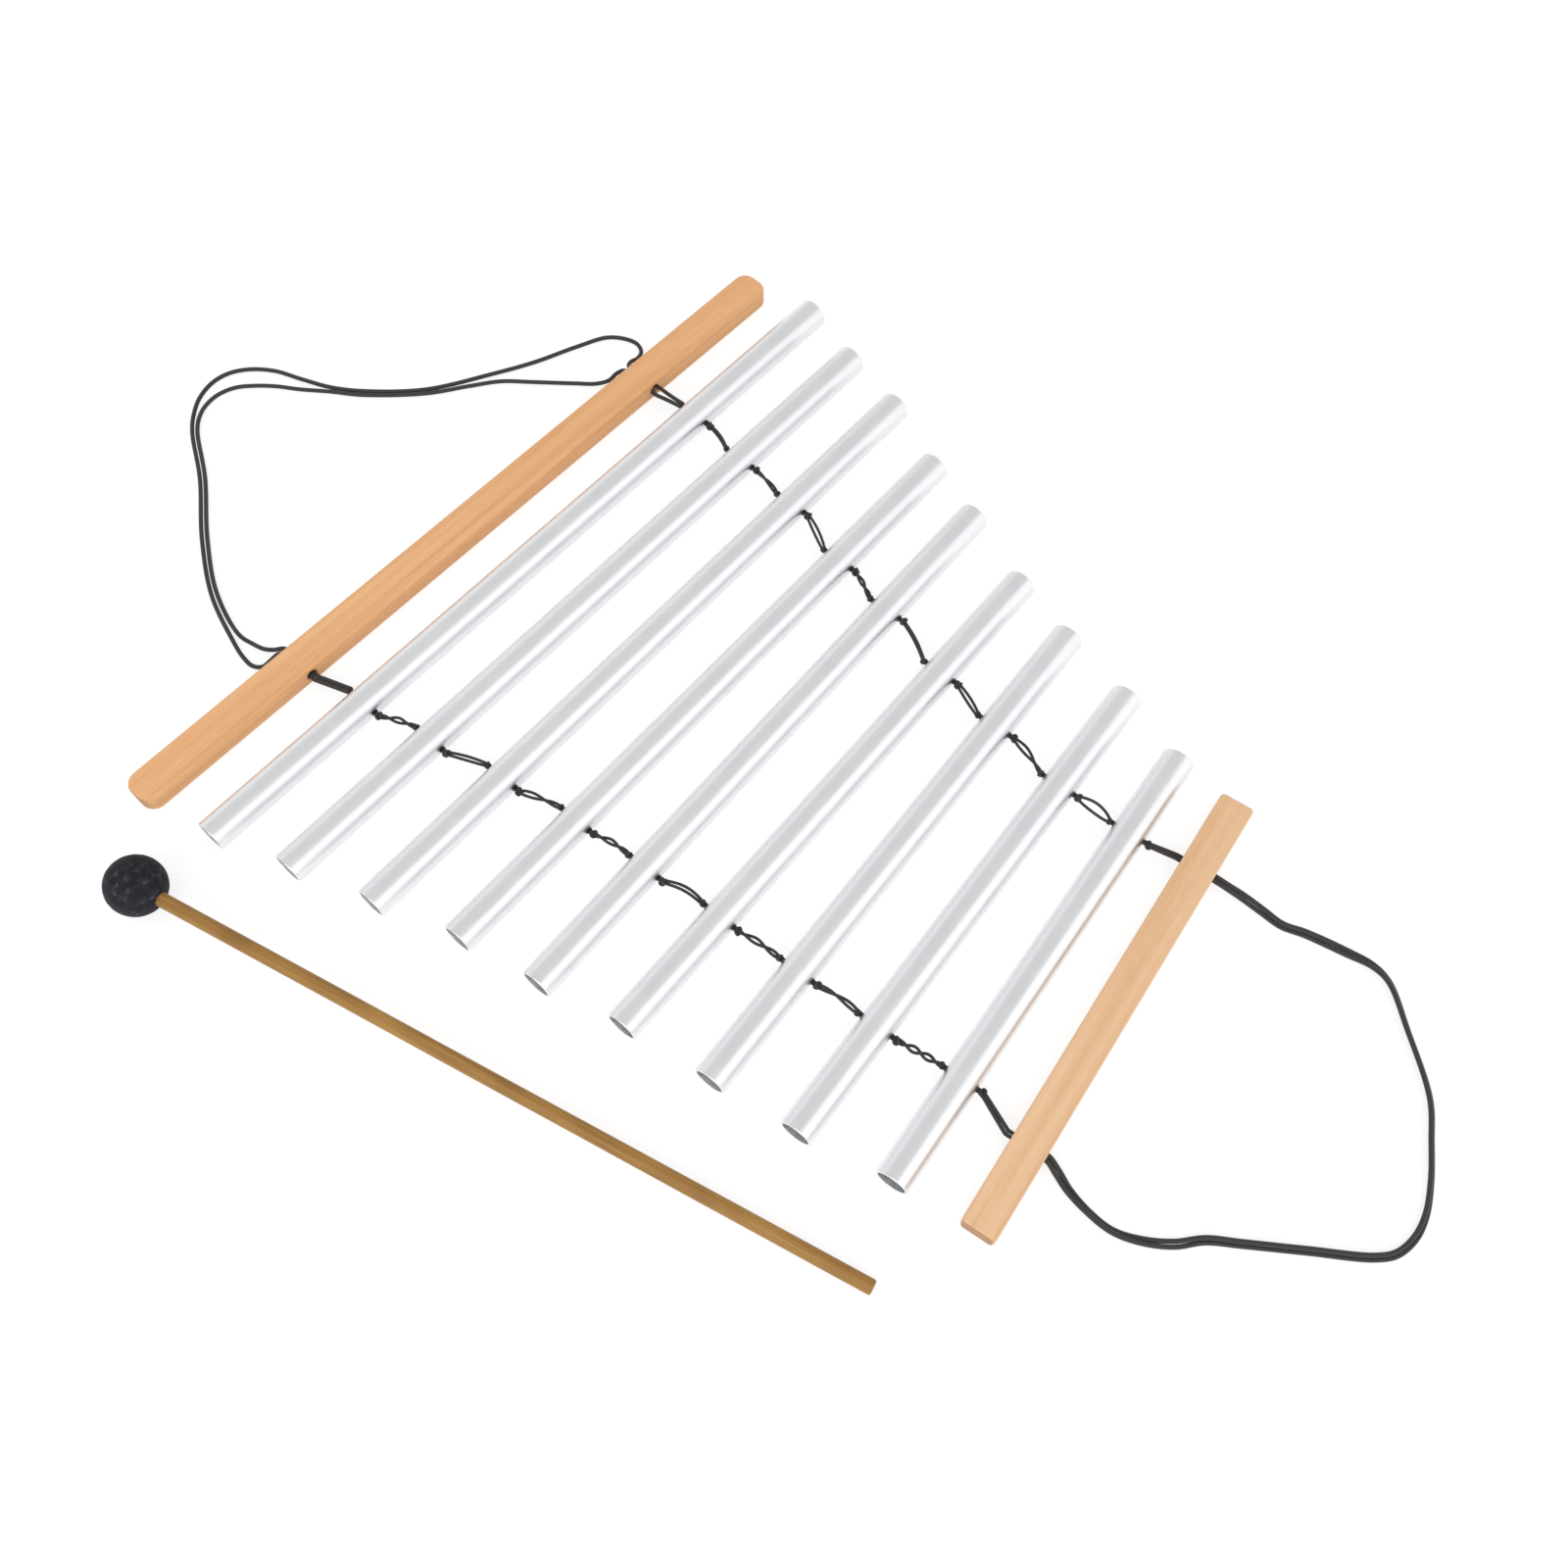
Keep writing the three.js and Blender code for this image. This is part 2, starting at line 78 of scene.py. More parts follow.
# %% Describe the rungs
# Lengths are in millimetres, and turns in degrees anticlockwise as seen from above.
TUBE_RADIUS = 7.0
TUBE_WALL = 1.0
LONGEST_TUBE = 368.5
# how far each tube sounds above the longest. A tube of half the length sounds two octaves higher.
SCALE_SEMITONES = [0, 2, 4, 7, 9, 12, 14, 16, 19]
SEMITONES_PER_HALVING = 24
# A ringing tube stands still at this share of its length, so the cords cross it there. Only the
# last tube's far hole lies nearer to its end.
STILL_POINT = 0.224
LAST_FAR_HOLE = 0.19
# each tube's turn, the place of its middle along Y, and the gap before it; the last gap is the
# one before the short bar
TUBE_TURNS = [-2.8, -2.5, -2.0, -1.7, -0.5, -0.5, 1.4, 1.9, 3.5]
TUBE_Y = [22.7, 22.2, 22.9, 20.1, 17.4, 13.6, 11.2, 9.2, 7.5]
GAPS = [20.1, 19.3, 20.6, 21.7, 19.5, 22.8, 21.6, 22.7, 21.9, 18.0]
LONG_BAR = {"half_width": 8.0, "length": 373.0, "y": 17.8, "turn": -3.4}
LONG_BAR_X = -173.44
LONG_BAR_HOLES = {"near": -100.0, "far": 108.0}
SHORT_BAR = {"half_width": 7.25, "length": 206.0, "y": 9.3, "turn": 5.1}
SHORT_BAR_HOLES = {"near": -65.0, "far": 69.5}
BAR_THICKNESS = 10.0
CORD_HOLE = 3.2
BAR_HOLE = 5.0
LEFT_KNOT = 3.4
RIGHT_KNOT = 4.2
CLEARANCE = 0.3
# how far outside a bar's face the cord bends
BEND_REACH = 2.5


class Rung:
    """A tube or a bar: its middle, its own axes, how far along it the cords cross it (holes), and
    how far outside its sides they bend (reach)."""

    def __init__(self, name, x, y, height, turn, half_width, length, holes, reach):
        self.name = name
        self.turn = math.radians(turn)
        self.centre = Vector((x, y, height))
        self.across = Vector((math.cos(self.turn), math.sin(self.turn), 0))
        self.along = Vector((-math.sin(self.turn), math.cos(self.turn), 0))
        self.half_width = half_width
        self.length = length
        self.holes = holes
        self.reach = reach

    def hole(self, end):
        return self.centre + self.along * self.holes[end]

    def bend(self, end, side):
        sign = -1 if side == "left" else 1
        return self.hole(end) + self.across * sign * (self.half_width + self.reach[side])


def lay_bar(name, bar, x, holes):
    reach = {"left": BEND_REACH, "right": BEND_REACH}
    return Rung(
        name, x, bar["y"], BAR_THICKNESS / 2, bar["turn"], bar["half_width"], bar["length"], holes,
        reach)


def lay_rungs():
    """The long bar, then each next rung at its gap from the right face of the one before."""
    reach = {"left": CLEARANCE + LEFT_KNOT / 2, "right": CLEARANCE + RIGHT_KNOT / 2}
    laid = [lay_bar("long_bar", LONG_BAR, LONG_BAR_X, LONG_BAR_HOLES)]
    face = LONG_BAR_X + LONG_BAR["half_width"]
    last = len(SCALE_SEMITONES) - 1
    for number, semitones in enumerate(SCALE_SEMITONES):
        length = LONGEST_TUBE * 2 ** (-semitones / SEMITONES_PER_HALVING)
        far_share = LAST_FAR_HOLE if number == last else STILL_POINT
        holes = {"near": -(0.5 - STILL_POINT) * length, "far": (0.5 - far_share) * length}
        x = face + GAPS[number] + TUBE_RADIUS
        laid.append(Rung(
            f"tube_{number + 1}", x, TUBE_Y[number], TUBE_RADIUS, TUBE_TURNS[number], TUBE_RADIUS,
            length, holes, reach))
        face = x + TUBE_RADIUS
    x = face + GAPS[-1] + SHORT_BAR["half_width"]
    laid.append(lay_bar("short_bar", SHORT_BAR, x, SHORT_BAR_HOLES))
    return laid


rungs = lay_rungs()
long_bar, short_bar = rungs[0], rungs[-1]
tubes = rungs[1:-1]
for rung in rungs:
    print(rung.name, "middle", [round(v, 1) for v in rung.centre], "length", round(rung.length, 1))

# %% [markdown]
# ## Drawing with lines and rings
# Cord, twine and knots are all round sections that follow a line. One helper smooths a list of
# given points, one carries a frame along the line without twisting it, one draws rings of
# points round it, and one skins the rings into a mesh. The skin keeps a UV map named wrap, with
# the turn round the cord in U and the distance along it in millimetres in V, so that a material
# can draw fibres along the cord.

# %% Smooth a line through points
SPLINE_STEPS = 24


def between(t, t0, p0, t1, p1):
    """p0 at t0, p1 at t1 and the straight mix of them at t."""
    return p0 * ((t1 - t) / (t1 - t0)) + p1 * ((t - t0) / (t1 - t0))


def smooth_line(points, spacing):
    """A centripetal spline through the points, as evenly spaced points."""
    knots = [0.0]
    for before, after in zip(points, points[1:]):
        knots.append(knots[-1] + (after - before).length ** 0.5)
    first = points[0] * 2 - points[1]
    last = points[-1] * 2 - points[-2]
    padded = [first, *points, last]
    marks = [2 * knots[0] - knots[1], *knots, 2 * knots[-1] - knots[-2]]
    dense = []
    for i in range(1, len(padded) - 2):
        t0, t1, t2, t3 = marks[i - 1:i + 3]
        p0, p1, p2, p3 = padded[i - 1:i + 3]
        for step in range(SPLINE_STEPS):
            t = t1 + (t2 - t1) * step / SPLINE_STEPS
            a1 = between(t, t0, p0, t1, p1)
            a2 = between(t, t1, p1, t2, p2)
            a3 = between(t, t2, p2, t3, p3)
            b1 = between(t, t0, a1, t2, a2)
            b2 = between(t, t1, a2, t3, a3)
            dense.append(between(t, t1, b1, t2, b2))
    dense.append(points[-1].copy())
    return even_line(dense, spacing)


def even_line(points, spacing):
    """The same line, as points about one spacing apart."""
    distance = [0.0]
    for before, after in zip(points, points[1:]):
        distance.append(distance[-1] + (after - before).length)
    count = max(2, round(distance[-1] / spacing))
    coords = np.array([tuple(p) for p in points])
    wanted = np.linspace(0.0, distance[-1], count + 1)
    columns = [np.interp(wanted, distance, coords[:, axis]) for axis in range(3)]
    return [Vector(p) for p in zip(*columns)]


def line_length(points):
    return sum((after - before).length for before, after in zip(points, points[1:]))


# %% Carry a frame along a line
def frames_along(points):
    """Two crosswise directions at each point, which turn as little as possible on the way."""
    tangents = []
    for i in range(len(points)):
        ahead = points[min(i + 1, len(points) - 1)] - points[max(i - 1, 0)]
        tangents.append(ahead.normalized())
    side = Vector((0, 0, 1)).cross(tangents[0]).normalized()
    frames = []
    for before, tangent in zip([tangents[0], *tangents], tangents):
        side = before.rotation_difference(tangent) @ side
        side = (side - tangent * side.dot(tangent)).normalized()
        frames.append((side, tangent.cross(side)))
    return frames


# %% Draw rings round a line
def rings_along(line, sides, radius_at):
    """Rings of points round a line, and the distance of each along it. radius_at gives the radius
    for an angle and a distance."""
    rings = []
    distances = []
    travelled = 0.0
    for i, (point, (side, up)) in enumerate(zip(line, frames_along(line))):
        travelled += (point - line[i - 1]).length if i else 0.0
        ring = []
        for j in range(sides):
            angle = math.tau * j / sides
            outward = side * math.cos(angle) + up * math.sin(angle)
            ring.append(point + outward * radius_at(angle, travelled))
        rings.append(ring)
        distances.append(travelled)
    return rings, distances


# %% Skin rings into a mesh
def skin_rings(builder, wrap, rings, distances):
    """Joins rings of the same number of points with quads, closes both ends, and writes the wrap
    UV of each corner."""
    sides = len(rings[0])
    layers = [[builder.verts.new(point) for point in ring] for ring in rings]
    for i, (low, high) in enumerate(zip(layers, layers[1:])):
        for j in range(sides):
            k = (j + 1) % sides
            face = builder.faces.new((low[j], low[k], high[k], high[j]))
            face.smooth = True
            corners = ((j, i), (j + 1, i), (j + 1, i + 1), (j, i + 1))
            for loop, (around, ring) in zip(face.loops, corners):
                loop[wrap].uv = (around / sides, distances[ring])
    ends = ((list(reversed(layers[0])), distances[0]), (layers[-1], distances[-1]))
    for layer, place in ends:
        for loop in builder.faces.new(layer).loops:
            loop[wrap].uv = (0.5, place)


def start_mesh():
    builder = bmesh.new()
    return builder, builder.loops.layers.uv.new("wrap")


def finish_mesh(name, builder, material):
    """Turns the builder, in millimetres, into an object in metres."""
    bmesh.ops.recalc_face_normals(builder, faces=builder.faces)
    mesh = bpy.data.meshes.new(name)
    builder.to_mesh(mesh)
    builder.free()
    mesh.transform(Matrix.Scale(MM, 4))
    mesh.materials.append(material)
    piece = bpy.data.objects.new(name, mesh)
    bpy.context.collection.objects.link(piece)
    return piece


# %% [markdown]
# ## Material helpers
# Colours are written as sRGB hex values, as they are read off a photograph, and one function
# turns them to the linear numbers that Blender's sockets hold. One small function adds a node
# with its settings and its links.

# %% Add colours and nodes
def linear(hex_colour):
    """An sRGB hex colour as linear red, green, blue and alpha."""
    channels = []
    for start in (1, 3, 5):
        value = int(hex_colour[start:start + 2], 16) / 255
        channels.append(value / 12.92 if value <= 0.04045 else ((value + 0.055) / 1.055) ** 2.4)
    return (*channels, 1.0)


def add_node(material, kind, settings=None, inputs=None):
    """A node with its settings; each input is a value, or a linked output socket."""
    node = material.node_tree.nodes.new(kind)
    for key, value in (settings or {}).items():
        setattr(node, key, value)
    for key, value in (inputs or {}).items():
        if isinstance(value, bpy.types.NodeSocket):
            material.node_tree.links.new(value, node.inputs[key])
        else:
            node.inputs[key].default_value = value
    return node


def new_material(name):
    material = bpy.data.materials.new(name)
    material.use_nodes = True
    material.node_tree.nodes.clear()
    return material


def ramp(material, factor, stops):
    """A colour ramp through (position, hex colour) stops."""
    node = add_node(material, "ShaderNodeValToRGB", inputs={"Fac": factor})
    elements = node.color_ramp.elements
    while len(elements) < len(stops):
        elements.new(0.5)
    for element, (position, colour) in zip(elements, stops):
        element.position = position
        element.color = linear(colour)
    return node.outputs["Color"]


def finish_surface(material, shader):
    output = add_node(material, "ShaderNodeOutputMaterial")
    material.node_tree.links.new(shader.outputs[0], output.inputs["Surface"])
    return material


# %% Add the nodes that the materials share
def maths(material, operation, *values):
    inputs = dict(enumerate(values))
    return add_node(material, "ShaderNodeMath", {"operation": operation}, inputs).outputs[0]


def wrapped_place(material):
    return add_node(material, "ShaderNodeUVMap", {"uv_map": "wrap"}).outputs["UV"]


def stretched(material, place, scale):
    node = add_node(material, "ShaderNodeMapping", inputs={"Vector": place, "Scale": scale})
    return node.outputs["Vector"]


def noise_value(material, place, scale, detail, more=None):
    inputs = {"Vector": place, "Scale": scale, "Detail": detail, **(more or {})}
    return add_node(material, "ShaderNodeTexNoise", inputs=inputs).outputs["Fac"]


def blended(material, share, first, second):
    """A value between two, where share says how much of the second."""
    inputs = {"Factor": share, 2: first, 3: second}
    return add_node(material, "ShaderNodeMix", {"data_type": "FLOAT"}, inputs).outputs[0]


def rescaled(material, value, start, stop, low=0.0, high=1.0):
    """The value moved from the range start to stop into the range low to high."""
    inputs = {"Value": value, "From Min": start, "From Max": stop, "To Min": low, "To Max": high}
    return add_node(material, "ShaderNodeMapRange", inputs=inputs).outputs["Result"]


def finish_principled(material, colour, roughness, relief, more=None):
    """The material's surface. relief is a height, a strength and a distance for the bump."""
    height, strength, distance = relief
    bump = add_node(
        material, "ShaderNodeBump",
        inputs={"Strength": strength, "Distance": distance, "Height": height})
    shader = add_node(
        material, "ShaderNodeBsdfPrincipled",
        inputs={"Base Color": colour, "Roughness": roughness, "Normal": bump.outputs["Normal"],
                **(more or {})})
    return finish_surface(material, shader)


# %% [markdown]
# ## Black braided cord
# The loops are a round braided polyester cord, 2 mm thick. A braid shows as rows of small
# slanting bundles that cross each other. Two waves that slant opposite ways round the cord draw
# the bundles; the colour has painted shade between them and a dull painted sheen on their tops.

# %% Make the braided cord material
BRAID_BUNDLES = 8
BRAID_PITCH = 2.4


def slanted_wave(material, wrap, slant):
    """-1 between the bundles and 1 on their tops, for bundles that slant one way."""
    parts = add_node(material, "ShaderNodeSeparateXYZ", inputs={"Vector": wrap}).outputs
    around = maths(material, "MULTIPLY", parts["X"], math.tau * BRAID_BUNDLES / 2)
    along = maths(material, "MULTIPLY", parts["Y"], slant * math.tau / BRAID_PITCH * 2)
    return maths(material, "SINE", maths(material, "ADD", around, along))


def braided_cord_material():
    material = new_material("black_braided_polyester_cord")
    wrap = wrapped_place(material)
    rising, falling = slanted_wave(material, wrap, 1), slanted_wave(material, wrap, -1)
    height = rescaled(material, maths(material, "MULTIPLY", rising, falling), -1.0, 1.0)
    fibre = noise_value(material, stretched(material, wrap, (40.0, 1.2, 1.0)), 1.0, 3.0)
    # the colour follows the bundles' height, mixed with the fibres' own tone: the dark stop between
    # the bundles is painted shade, and the pale stop on their tops is a painted sheen
    braid_shade_and_fibre = blended(material, 0.35, height, fibre)
    colour = ramp(material, braid_shade_and_fibre, [(0.2, "#161516"), (0.55, "#302d2c"), (0.9, "#4a4644")])
    return finish_principled(
        material, colour, 0.62, (braid_shade_and_fibre, 0.6, 0.00012),
        {"Sheen Weight": 0.25, "Sheen Roughness": 0.45})


loop_cord_material = braided_cord_material()
print("made material", loop_cord_material.name)

# %% [markdown]
# ## Carrying loops
# Each loop is one cord laid double: both its ends go into a bar, one through each of its holes,
# and lie on the table in between. These are the points that the CAD model follows, in
# millimetres; one without a height lies on the table. On the long bar the two strands lie apart
# in places. On the short bar they lie as a pair that rolls over itself: the fourth number is the
# roll in degrees, 0 where they lie side by side. Each end rises into its hole and stops just
# short of the bar's middle.

# %% Lay the routes of the loops
LONG_LOOP_OUTER = [
    (-178.0, 128.0, 4.7), (-179.6, 131.2, 3.6), (-179.6, 135.6, 2.0), (-181.2, 140.2),
    (-185.6, 142.6), (-192.0, 141.6), (-199.8, 136.6), (-207.2, 123.4), (-216.6, 103.6),
    (-227.4, 85.6), (-245.2, 59.4), (-267.0, 40.5), (-280.6, 32.3), (-295.4, 26.8),
    (-308.4, 22.4), (-318.4, 15.6), (-324.4, 7.6), (-326.2, -1.0), (-324.2, -10.6),
    (-319.4, -18.6), (-312.1, -26.3), (-289.0, -42.3), (-263.1, -64.3), (-237.8, -81.5),
    (-214.0, -91.2), (-203.4, -94.4), (-196.8, -94.8), (-192.8, -92.4, 1.9), (-191.6, -88.4, 3.2),
    (-190.6, -84.8, 4.5),
]
LONG_LOOP_INNER = [
    (-178.2, 124.4, 4.7), (-180.2, 121.4, 3.6), (-181.2, 117.4, 2.0), (-185.0, 112.6),
    (-193.4, 106.0), (-208.4, 94.8), (-221.0, 85.2), (-230.6, 73.8), (-243.4, 57.8),
    (-265.6, 38.6), (-279.2, 30.2), (-291.2, 22.2), (-301.2, 16.4), (-309.4, 10.2), (-315.8, 3.4),
    (-318.8, -4.6), (-318.4, -12.4), (-315.8, -18.4), (-310.5, -24.5), (-287.6, -40.4),
    (-261.5, -62.5), (-236.8, -79.3), (-213.2, -87.8), (-205.0, -87.2), (-199.0, -86.0, 1.7),
    (-194.4, -83.8, 3.0), (-191.0, -81.4, 4.5),
]
SHORT_LOOP_MIDDLE = [
    (183.4, 79.8, 4.2, 0), (190.0, 81.0, 1.9, 15), (199.5, 80.8, 1.2, 40),
    (208.7, 80.4, 1.2, 58), (217.7, 83.2, 1.2, 50), (234.7, 87.0, 1.2, 5),
    (245.5, 88.4, 1.2, -30), (253.5, 86.4, 1.2, -50), (268.7, 73.8, 1.2, -60),
    (288.6, 55.4, 1.2, -60), (297.0, 41.4, 1.2, -62), (304.2, 28.0, 1.2, -60),
    (308.8, 16.0, 1.2, -52), (309.8, 6.4, 1.2, -42), (307.5, -2.6, 1.2, -42),
    (302.0, -8.8, 1.2, -46), (281.7, -22.2, 1.2, -50), (261.7, -35.2, 1.2, -46),
    (251.0, -42.2, 1.2, -36), (243.0, -50.4, 1.2, -10), (233.0, -57.0, 1.2, 22),
    (222.7, -60.8, 1.2, 42), (211.7, -60.6, 1.2, 40), (202.0, -58.6, 1.4, 22),
    (195.6, -56.4, 3.2, 0),
]
LOOP_RADIUS = 1.0
LYING_HEIGHT = 1.2
# between the middles of two strands that lie side by side
LOOP_PITCH = 2.06
# from a bar's face to the place where a strand leaves its hole
MOUTH_REACH = 0.5


def strand_of_pair(route, side):
    """The outer strand for side 1 and the inner one for -1, rolled about the line between."""
    line = [Vector(place[:3]) for place in route]
    strand = []
    for i, point in enumerate(line):
        ahead = line[min(i + 1, len(line) - 1)] - line[max(i - 1, 0)]
        sideways = Vector((-ahead.y, ahead.x, 0)).normalized()
        roll = math.radians(route[i][3])
        lift = max(0.0, side * math.sin(roll)) * LOOP_PITCH
        shift = sideways * side * math.cos(roll) * LOOP_PITCH / 2
        strand.append(point + shift + Vector((0, 0, lift)))
    return strand


def loop_route(line, bar, outward, spacing):
    """From inside the bar, out of its far hole, along the line and in again at its near hole."""
    ends = []
    for end, sign in (("far", 1), ("near", -1)):
        inside = bar.hole(end) + bar.along * sign * spacing
        stop = inside + bar.across * outward * CLEARANCE / 2
        mouth = inside + bar.across * outward * (bar.half_width + MOUTH_REACH)
        ends.append((stop, mouth))
    return [ends[0][0], ends[0][1], *line, ends[1][1], ends[1][0]]


# %% Braid the loop cords
CORD_SIDES = 14
BRAID_STEP = 0.4
BRAID_MEAN = 0.975
BRAID_SWELL = 0.045
PATH_STEP = 6


def braided_radius(angle, distance):
    """The braid's bundles stand a little proud of the cord."""
    phase = math.tau * distance / BRAID_PITCH * 2
    around = angle * BRAID_BUNDLES / 2
    weave = math.sin(around + phase) * math.sin(around - phase)
    return LOOP_RADIUS * (BRAID_MEAN + BRAID_SWELL * weave)


def braided_cord(name, route):
    line = smooth_line(route, BRAID_STEP)
    builder, wrap = start_mesh()
    skin_rings(builder, wrap, *rings_along(line, CORD_SIDES, braided_radius))
    cord = finish_mesh(name, builder, loop_cord_material)
    path = [point * MM for point in line[::PATH_STEP]]
    path.append(line[-1] * MM)
    return cord, path


def lay_loop_strand(node, points, bar, outward, spacing, body):
    route = loop_route(points, bar, outward, spacing)
    cord, path = braided_cord(f"{node}_braid", route)
    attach(cord, body)
    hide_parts(node)
    print(node, "is", round(line_length(path) / MM), "mm long")


half = LOOP_PITCH / 2
long_outer, long_inner = [
    [Vector((*place, LYING_HEIGHT)[:3]) for place in route]
    for route in (LONG_LOOP_OUTER, LONG_LOOP_INNER)]
lay_loop_strand("long_loop_outer", long_outer, long_bar, -1, half, "long_bar")
lay_loop_strand("long_loop_inner", long_inner, long_bar, -1, -half, "long_bar")
short_outer = strand_of_pair(SHORT_LOOP_MIDDLE, 1)
short_inner = strand_of_pair(SHORT_LOOP_MIDDLE, -1)
lay_loop_strand("short_loop_outer", short_outer, short_bar, 1, half, "short_bar")
lay_loop_strand("short_loop_inner", short_inner, short_bar, 1, -half, "short_bar")

# %% [markdown]
# ## Floor and light
# The photograph has a plain white ground and soft light. The floor is a plain pale sheet. To the
# camera it shines by itself, so that it comes out white while the soft shadows under the tubes
# stay, and in reflections it shines a little, which leaves the dark line where a tube meets its
# shadow. The key light is a wide panel on the right, along the tubes' length: it draws the bright
# band on the right of each tube. A weak panel on the left lifts the other edge. A third lamp
# hangs beyond the tubes' near ends, where a tube can't mirror it to the camera, and lights the
# rest.

# %% Lay the floor
WHITE = (1, 1, 1, 1)
FLOOR_HALF_SIZE = 4000.0
PAPER = "#e6e6e6"
DIM_PAPER = "#a0a0a0"
GLOW_IN_MIRRORS = 0.3
GLOW_TO_CAMERA = 0.75


def glowing(material, colour_shader, strength):
    glow = add_node(material, "ShaderNodeEmission", inputs={"Color": WHITE, "Strength": strength})
    inputs = {0: colour_shader, 1: glow.outputs[0]}
    return add_node(material, "ShaderNodeAddShader", inputs=inputs).outputs[0]


def mixed(material, share, first, second):
    inputs = {0: share, 1: first, 2: second}
    return add_node(material, "ShaderNodeMixShader", inputs=inputs)


def floor_material():
    material = new_material("white_paper_ground")
    rays = add_node(material, "ShaderNodeLightPath").outputs
    paper, dim_paper = [
        add_node(material, "ShaderNodeBsdfDiffuse", inputs={"Color": linear(colour)}).outputs[0]
        for colour in (PAPER, DIM_PAPER)]
    mirrored = maths(material, "MAXIMUM", rays["Is Glossy Ray"], rays["Is Transmission Ray"])
    unseen = mixed(material, mirrored, paper, glowing(material, paper, GLOW_IN_MIRRORS))
    seen = glowing(material, dim_paper, GLOW_TO_CAMERA)
    shader = mixed(material, rays["Is Camera Ray"], unseen.outputs[0], seen)
    return finish_surface(material, shader)


def lay_floor(half_size):
    builder = bmesh.new()
    corners = [(-1, -1), (1, -1), (1, 1), (-1, 1)]
    builder.faces.new([builder.verts.new((x * half_size, y * half_size, 0)) for x, y in corners])
    return finish_mesh("floor", builder, floor_material())


floor = lay_floor(FLOOR_HALF_SIZE)
print("floor laid, mm across:", 2 * FLOOR_HALF_SIZE)

# %% Hang the lamps
# name, place and size in metres, power in watts; each lamp faces the middle of the table
LAMPS = [
    ("key_lamp", (1.3, 0.0, 0.6), (2.4, 1.7), 6.5),
    ("left_lamp", (-1.3, 0.0, 0.45), (2.2, 0.9), 1.3),
    ("near_lamp", (0.3, -1.3, 1.1), (1.2, 1.2), 7.8),
]


def hang_lamp(name, place, size, power):
    data = bpy.data.lights.new(name, "AREA")
    data.shape = "RECTANGLE"
    data.size, data.size_y = size
    data.energy = power
    lamp = bpy.data.objects.new(name, data)
    lamp.location = place
    lamp.rotation_euler = (-Vector(place)).to_track_quat("-Z", "Y").to_euler()
    bpy.context.collection.objects.link(lamp)
    print(name, "gives", power, "W")


for lamp_row in LAMPS:
    hang_lamp(*lamp_row)

# %% Light the room
ROOM_LIGHT = 0.7


def studio_world():
    """Even light from all round, which the camera sees as plain white."""
    world = bpy.data.worlds.new("studio")
    world.use_nodes = True
    world.node_tree.nodes.clear()
    rays = add_node(world, "ShaderNodeLightPath").outputs
    room, backdrop = [
        add_node(world, "ShaderNodeBackground", inputs={"Color": WHITE, "Strength": strength})
        for strength in (ROOM_LIGHT, 1.0)]
    seen = mixed(world, rays["Is Camera Ray"], room.outputs[0], backdrop.outputs[0])
    add_node(world, "ShaderNodeOutputWorld", inputs={"Surface": seen.outputs[0]})
    return world


bpy.context.scene.world = studio_world()
bpy.context.scene.view_settings.view_transform = "Standard"
print("room light", ROOM_LIGHT)

# %% [markdown]
# ## Drawn aluminium
# The tubes are bright drawn aluminium tube, sawn to length and left bare. Drawing leaves fine
# lines along the tube, which blur reflections a little and break them up lengthwise. Handling
# leaves faint dull patches. The sawn ends are a little rougher than the wall.

# %% Make the aluminium material
def drawn_aluminium():
    material = new_material("drawn_aluminium_tube")
    place = add_node(material, "ShaderNodeTexCoord").outputs["Object"]
    # lines about 0.3 mm apart, each a few centimetres long
    along_tube = stretched(material, place, (3300.0, 30.0, 3300.0))
    lines = noise_value(material, along_tube, 1.0, 4.0, {"Roughness": 0.65})
    # patches a couple of centimetres across where hands have dulled the metal
    patches = noise_value(material, place, 55.0, 3.0)
    wear = blended(material, 0.4, lines, patches)
    colour = ramp(material, wear, [(0.25, "#e9eaee"), (0.5, "#f2f3f5"), (0.75, "#f8f8f9")])
    roughness = rescaled(material, wear, 0.25, 0.75, 0.26, 0.4)
    return finish_principled(
        material, colour, roughness, (lines, 0.25, 0.00002), {"Metallic": 1.0})


aluminium = drawn_aluminium()
print("made material", aluminium.name)

# %% [markdown]
# ## The tubes
# A tube is turned from its wall's outline: outside, a small chamfer at each end where the saw's
# burr was taken off, and the bore. It is drilled across at two places for the cords. The holes
# are cut with a boolean, and the normals of the round walls are then set from the tube's own
# axis, because the long thin faces round a cut hole would otherwise shade in streaks.

# %% Turn a tube
TUBE_SIDES = 72
BORE_BREAK = 0.15
# how far in from the outside and back from the end the chamfer's points lie
TUBE_CHAMFER = [(0.3, 0.0), (0.17, 0.05), (0.06, 0.14), (0.0, 0.3)]


def tube_outline(length):
    """The wall's outline as (radius, distance along the axis), closed on itself."""
    outer = TUBE_RADIUS
    inner = TUBE_RADIUS - TUBE_WALL
    half = length / 2
    near = [(outer - inset, -half + back) for inset, back in TUBE_CHAMFER]
    far = [(outer - inset, half - back) for inset, back in reversed(TUBE_CHAMFER)]
    middle = [(outer, -half * 0.5), (outer, 0.0), (outer, half * 0.5)]
    bore = [
        (inner + BORE_BREAK, half), (inner, half - BORE_BREAK), (inner, 0.0),
        (inner, -half + BORE_BREAK), (inner + BORE_BREAK, -half)]
    return near + middle + far + bore


def place_rung_piece(piece, rung):
    piece.location = rung.centre * MM
    piece.rotation_euler = (0, 0, rung.turn)


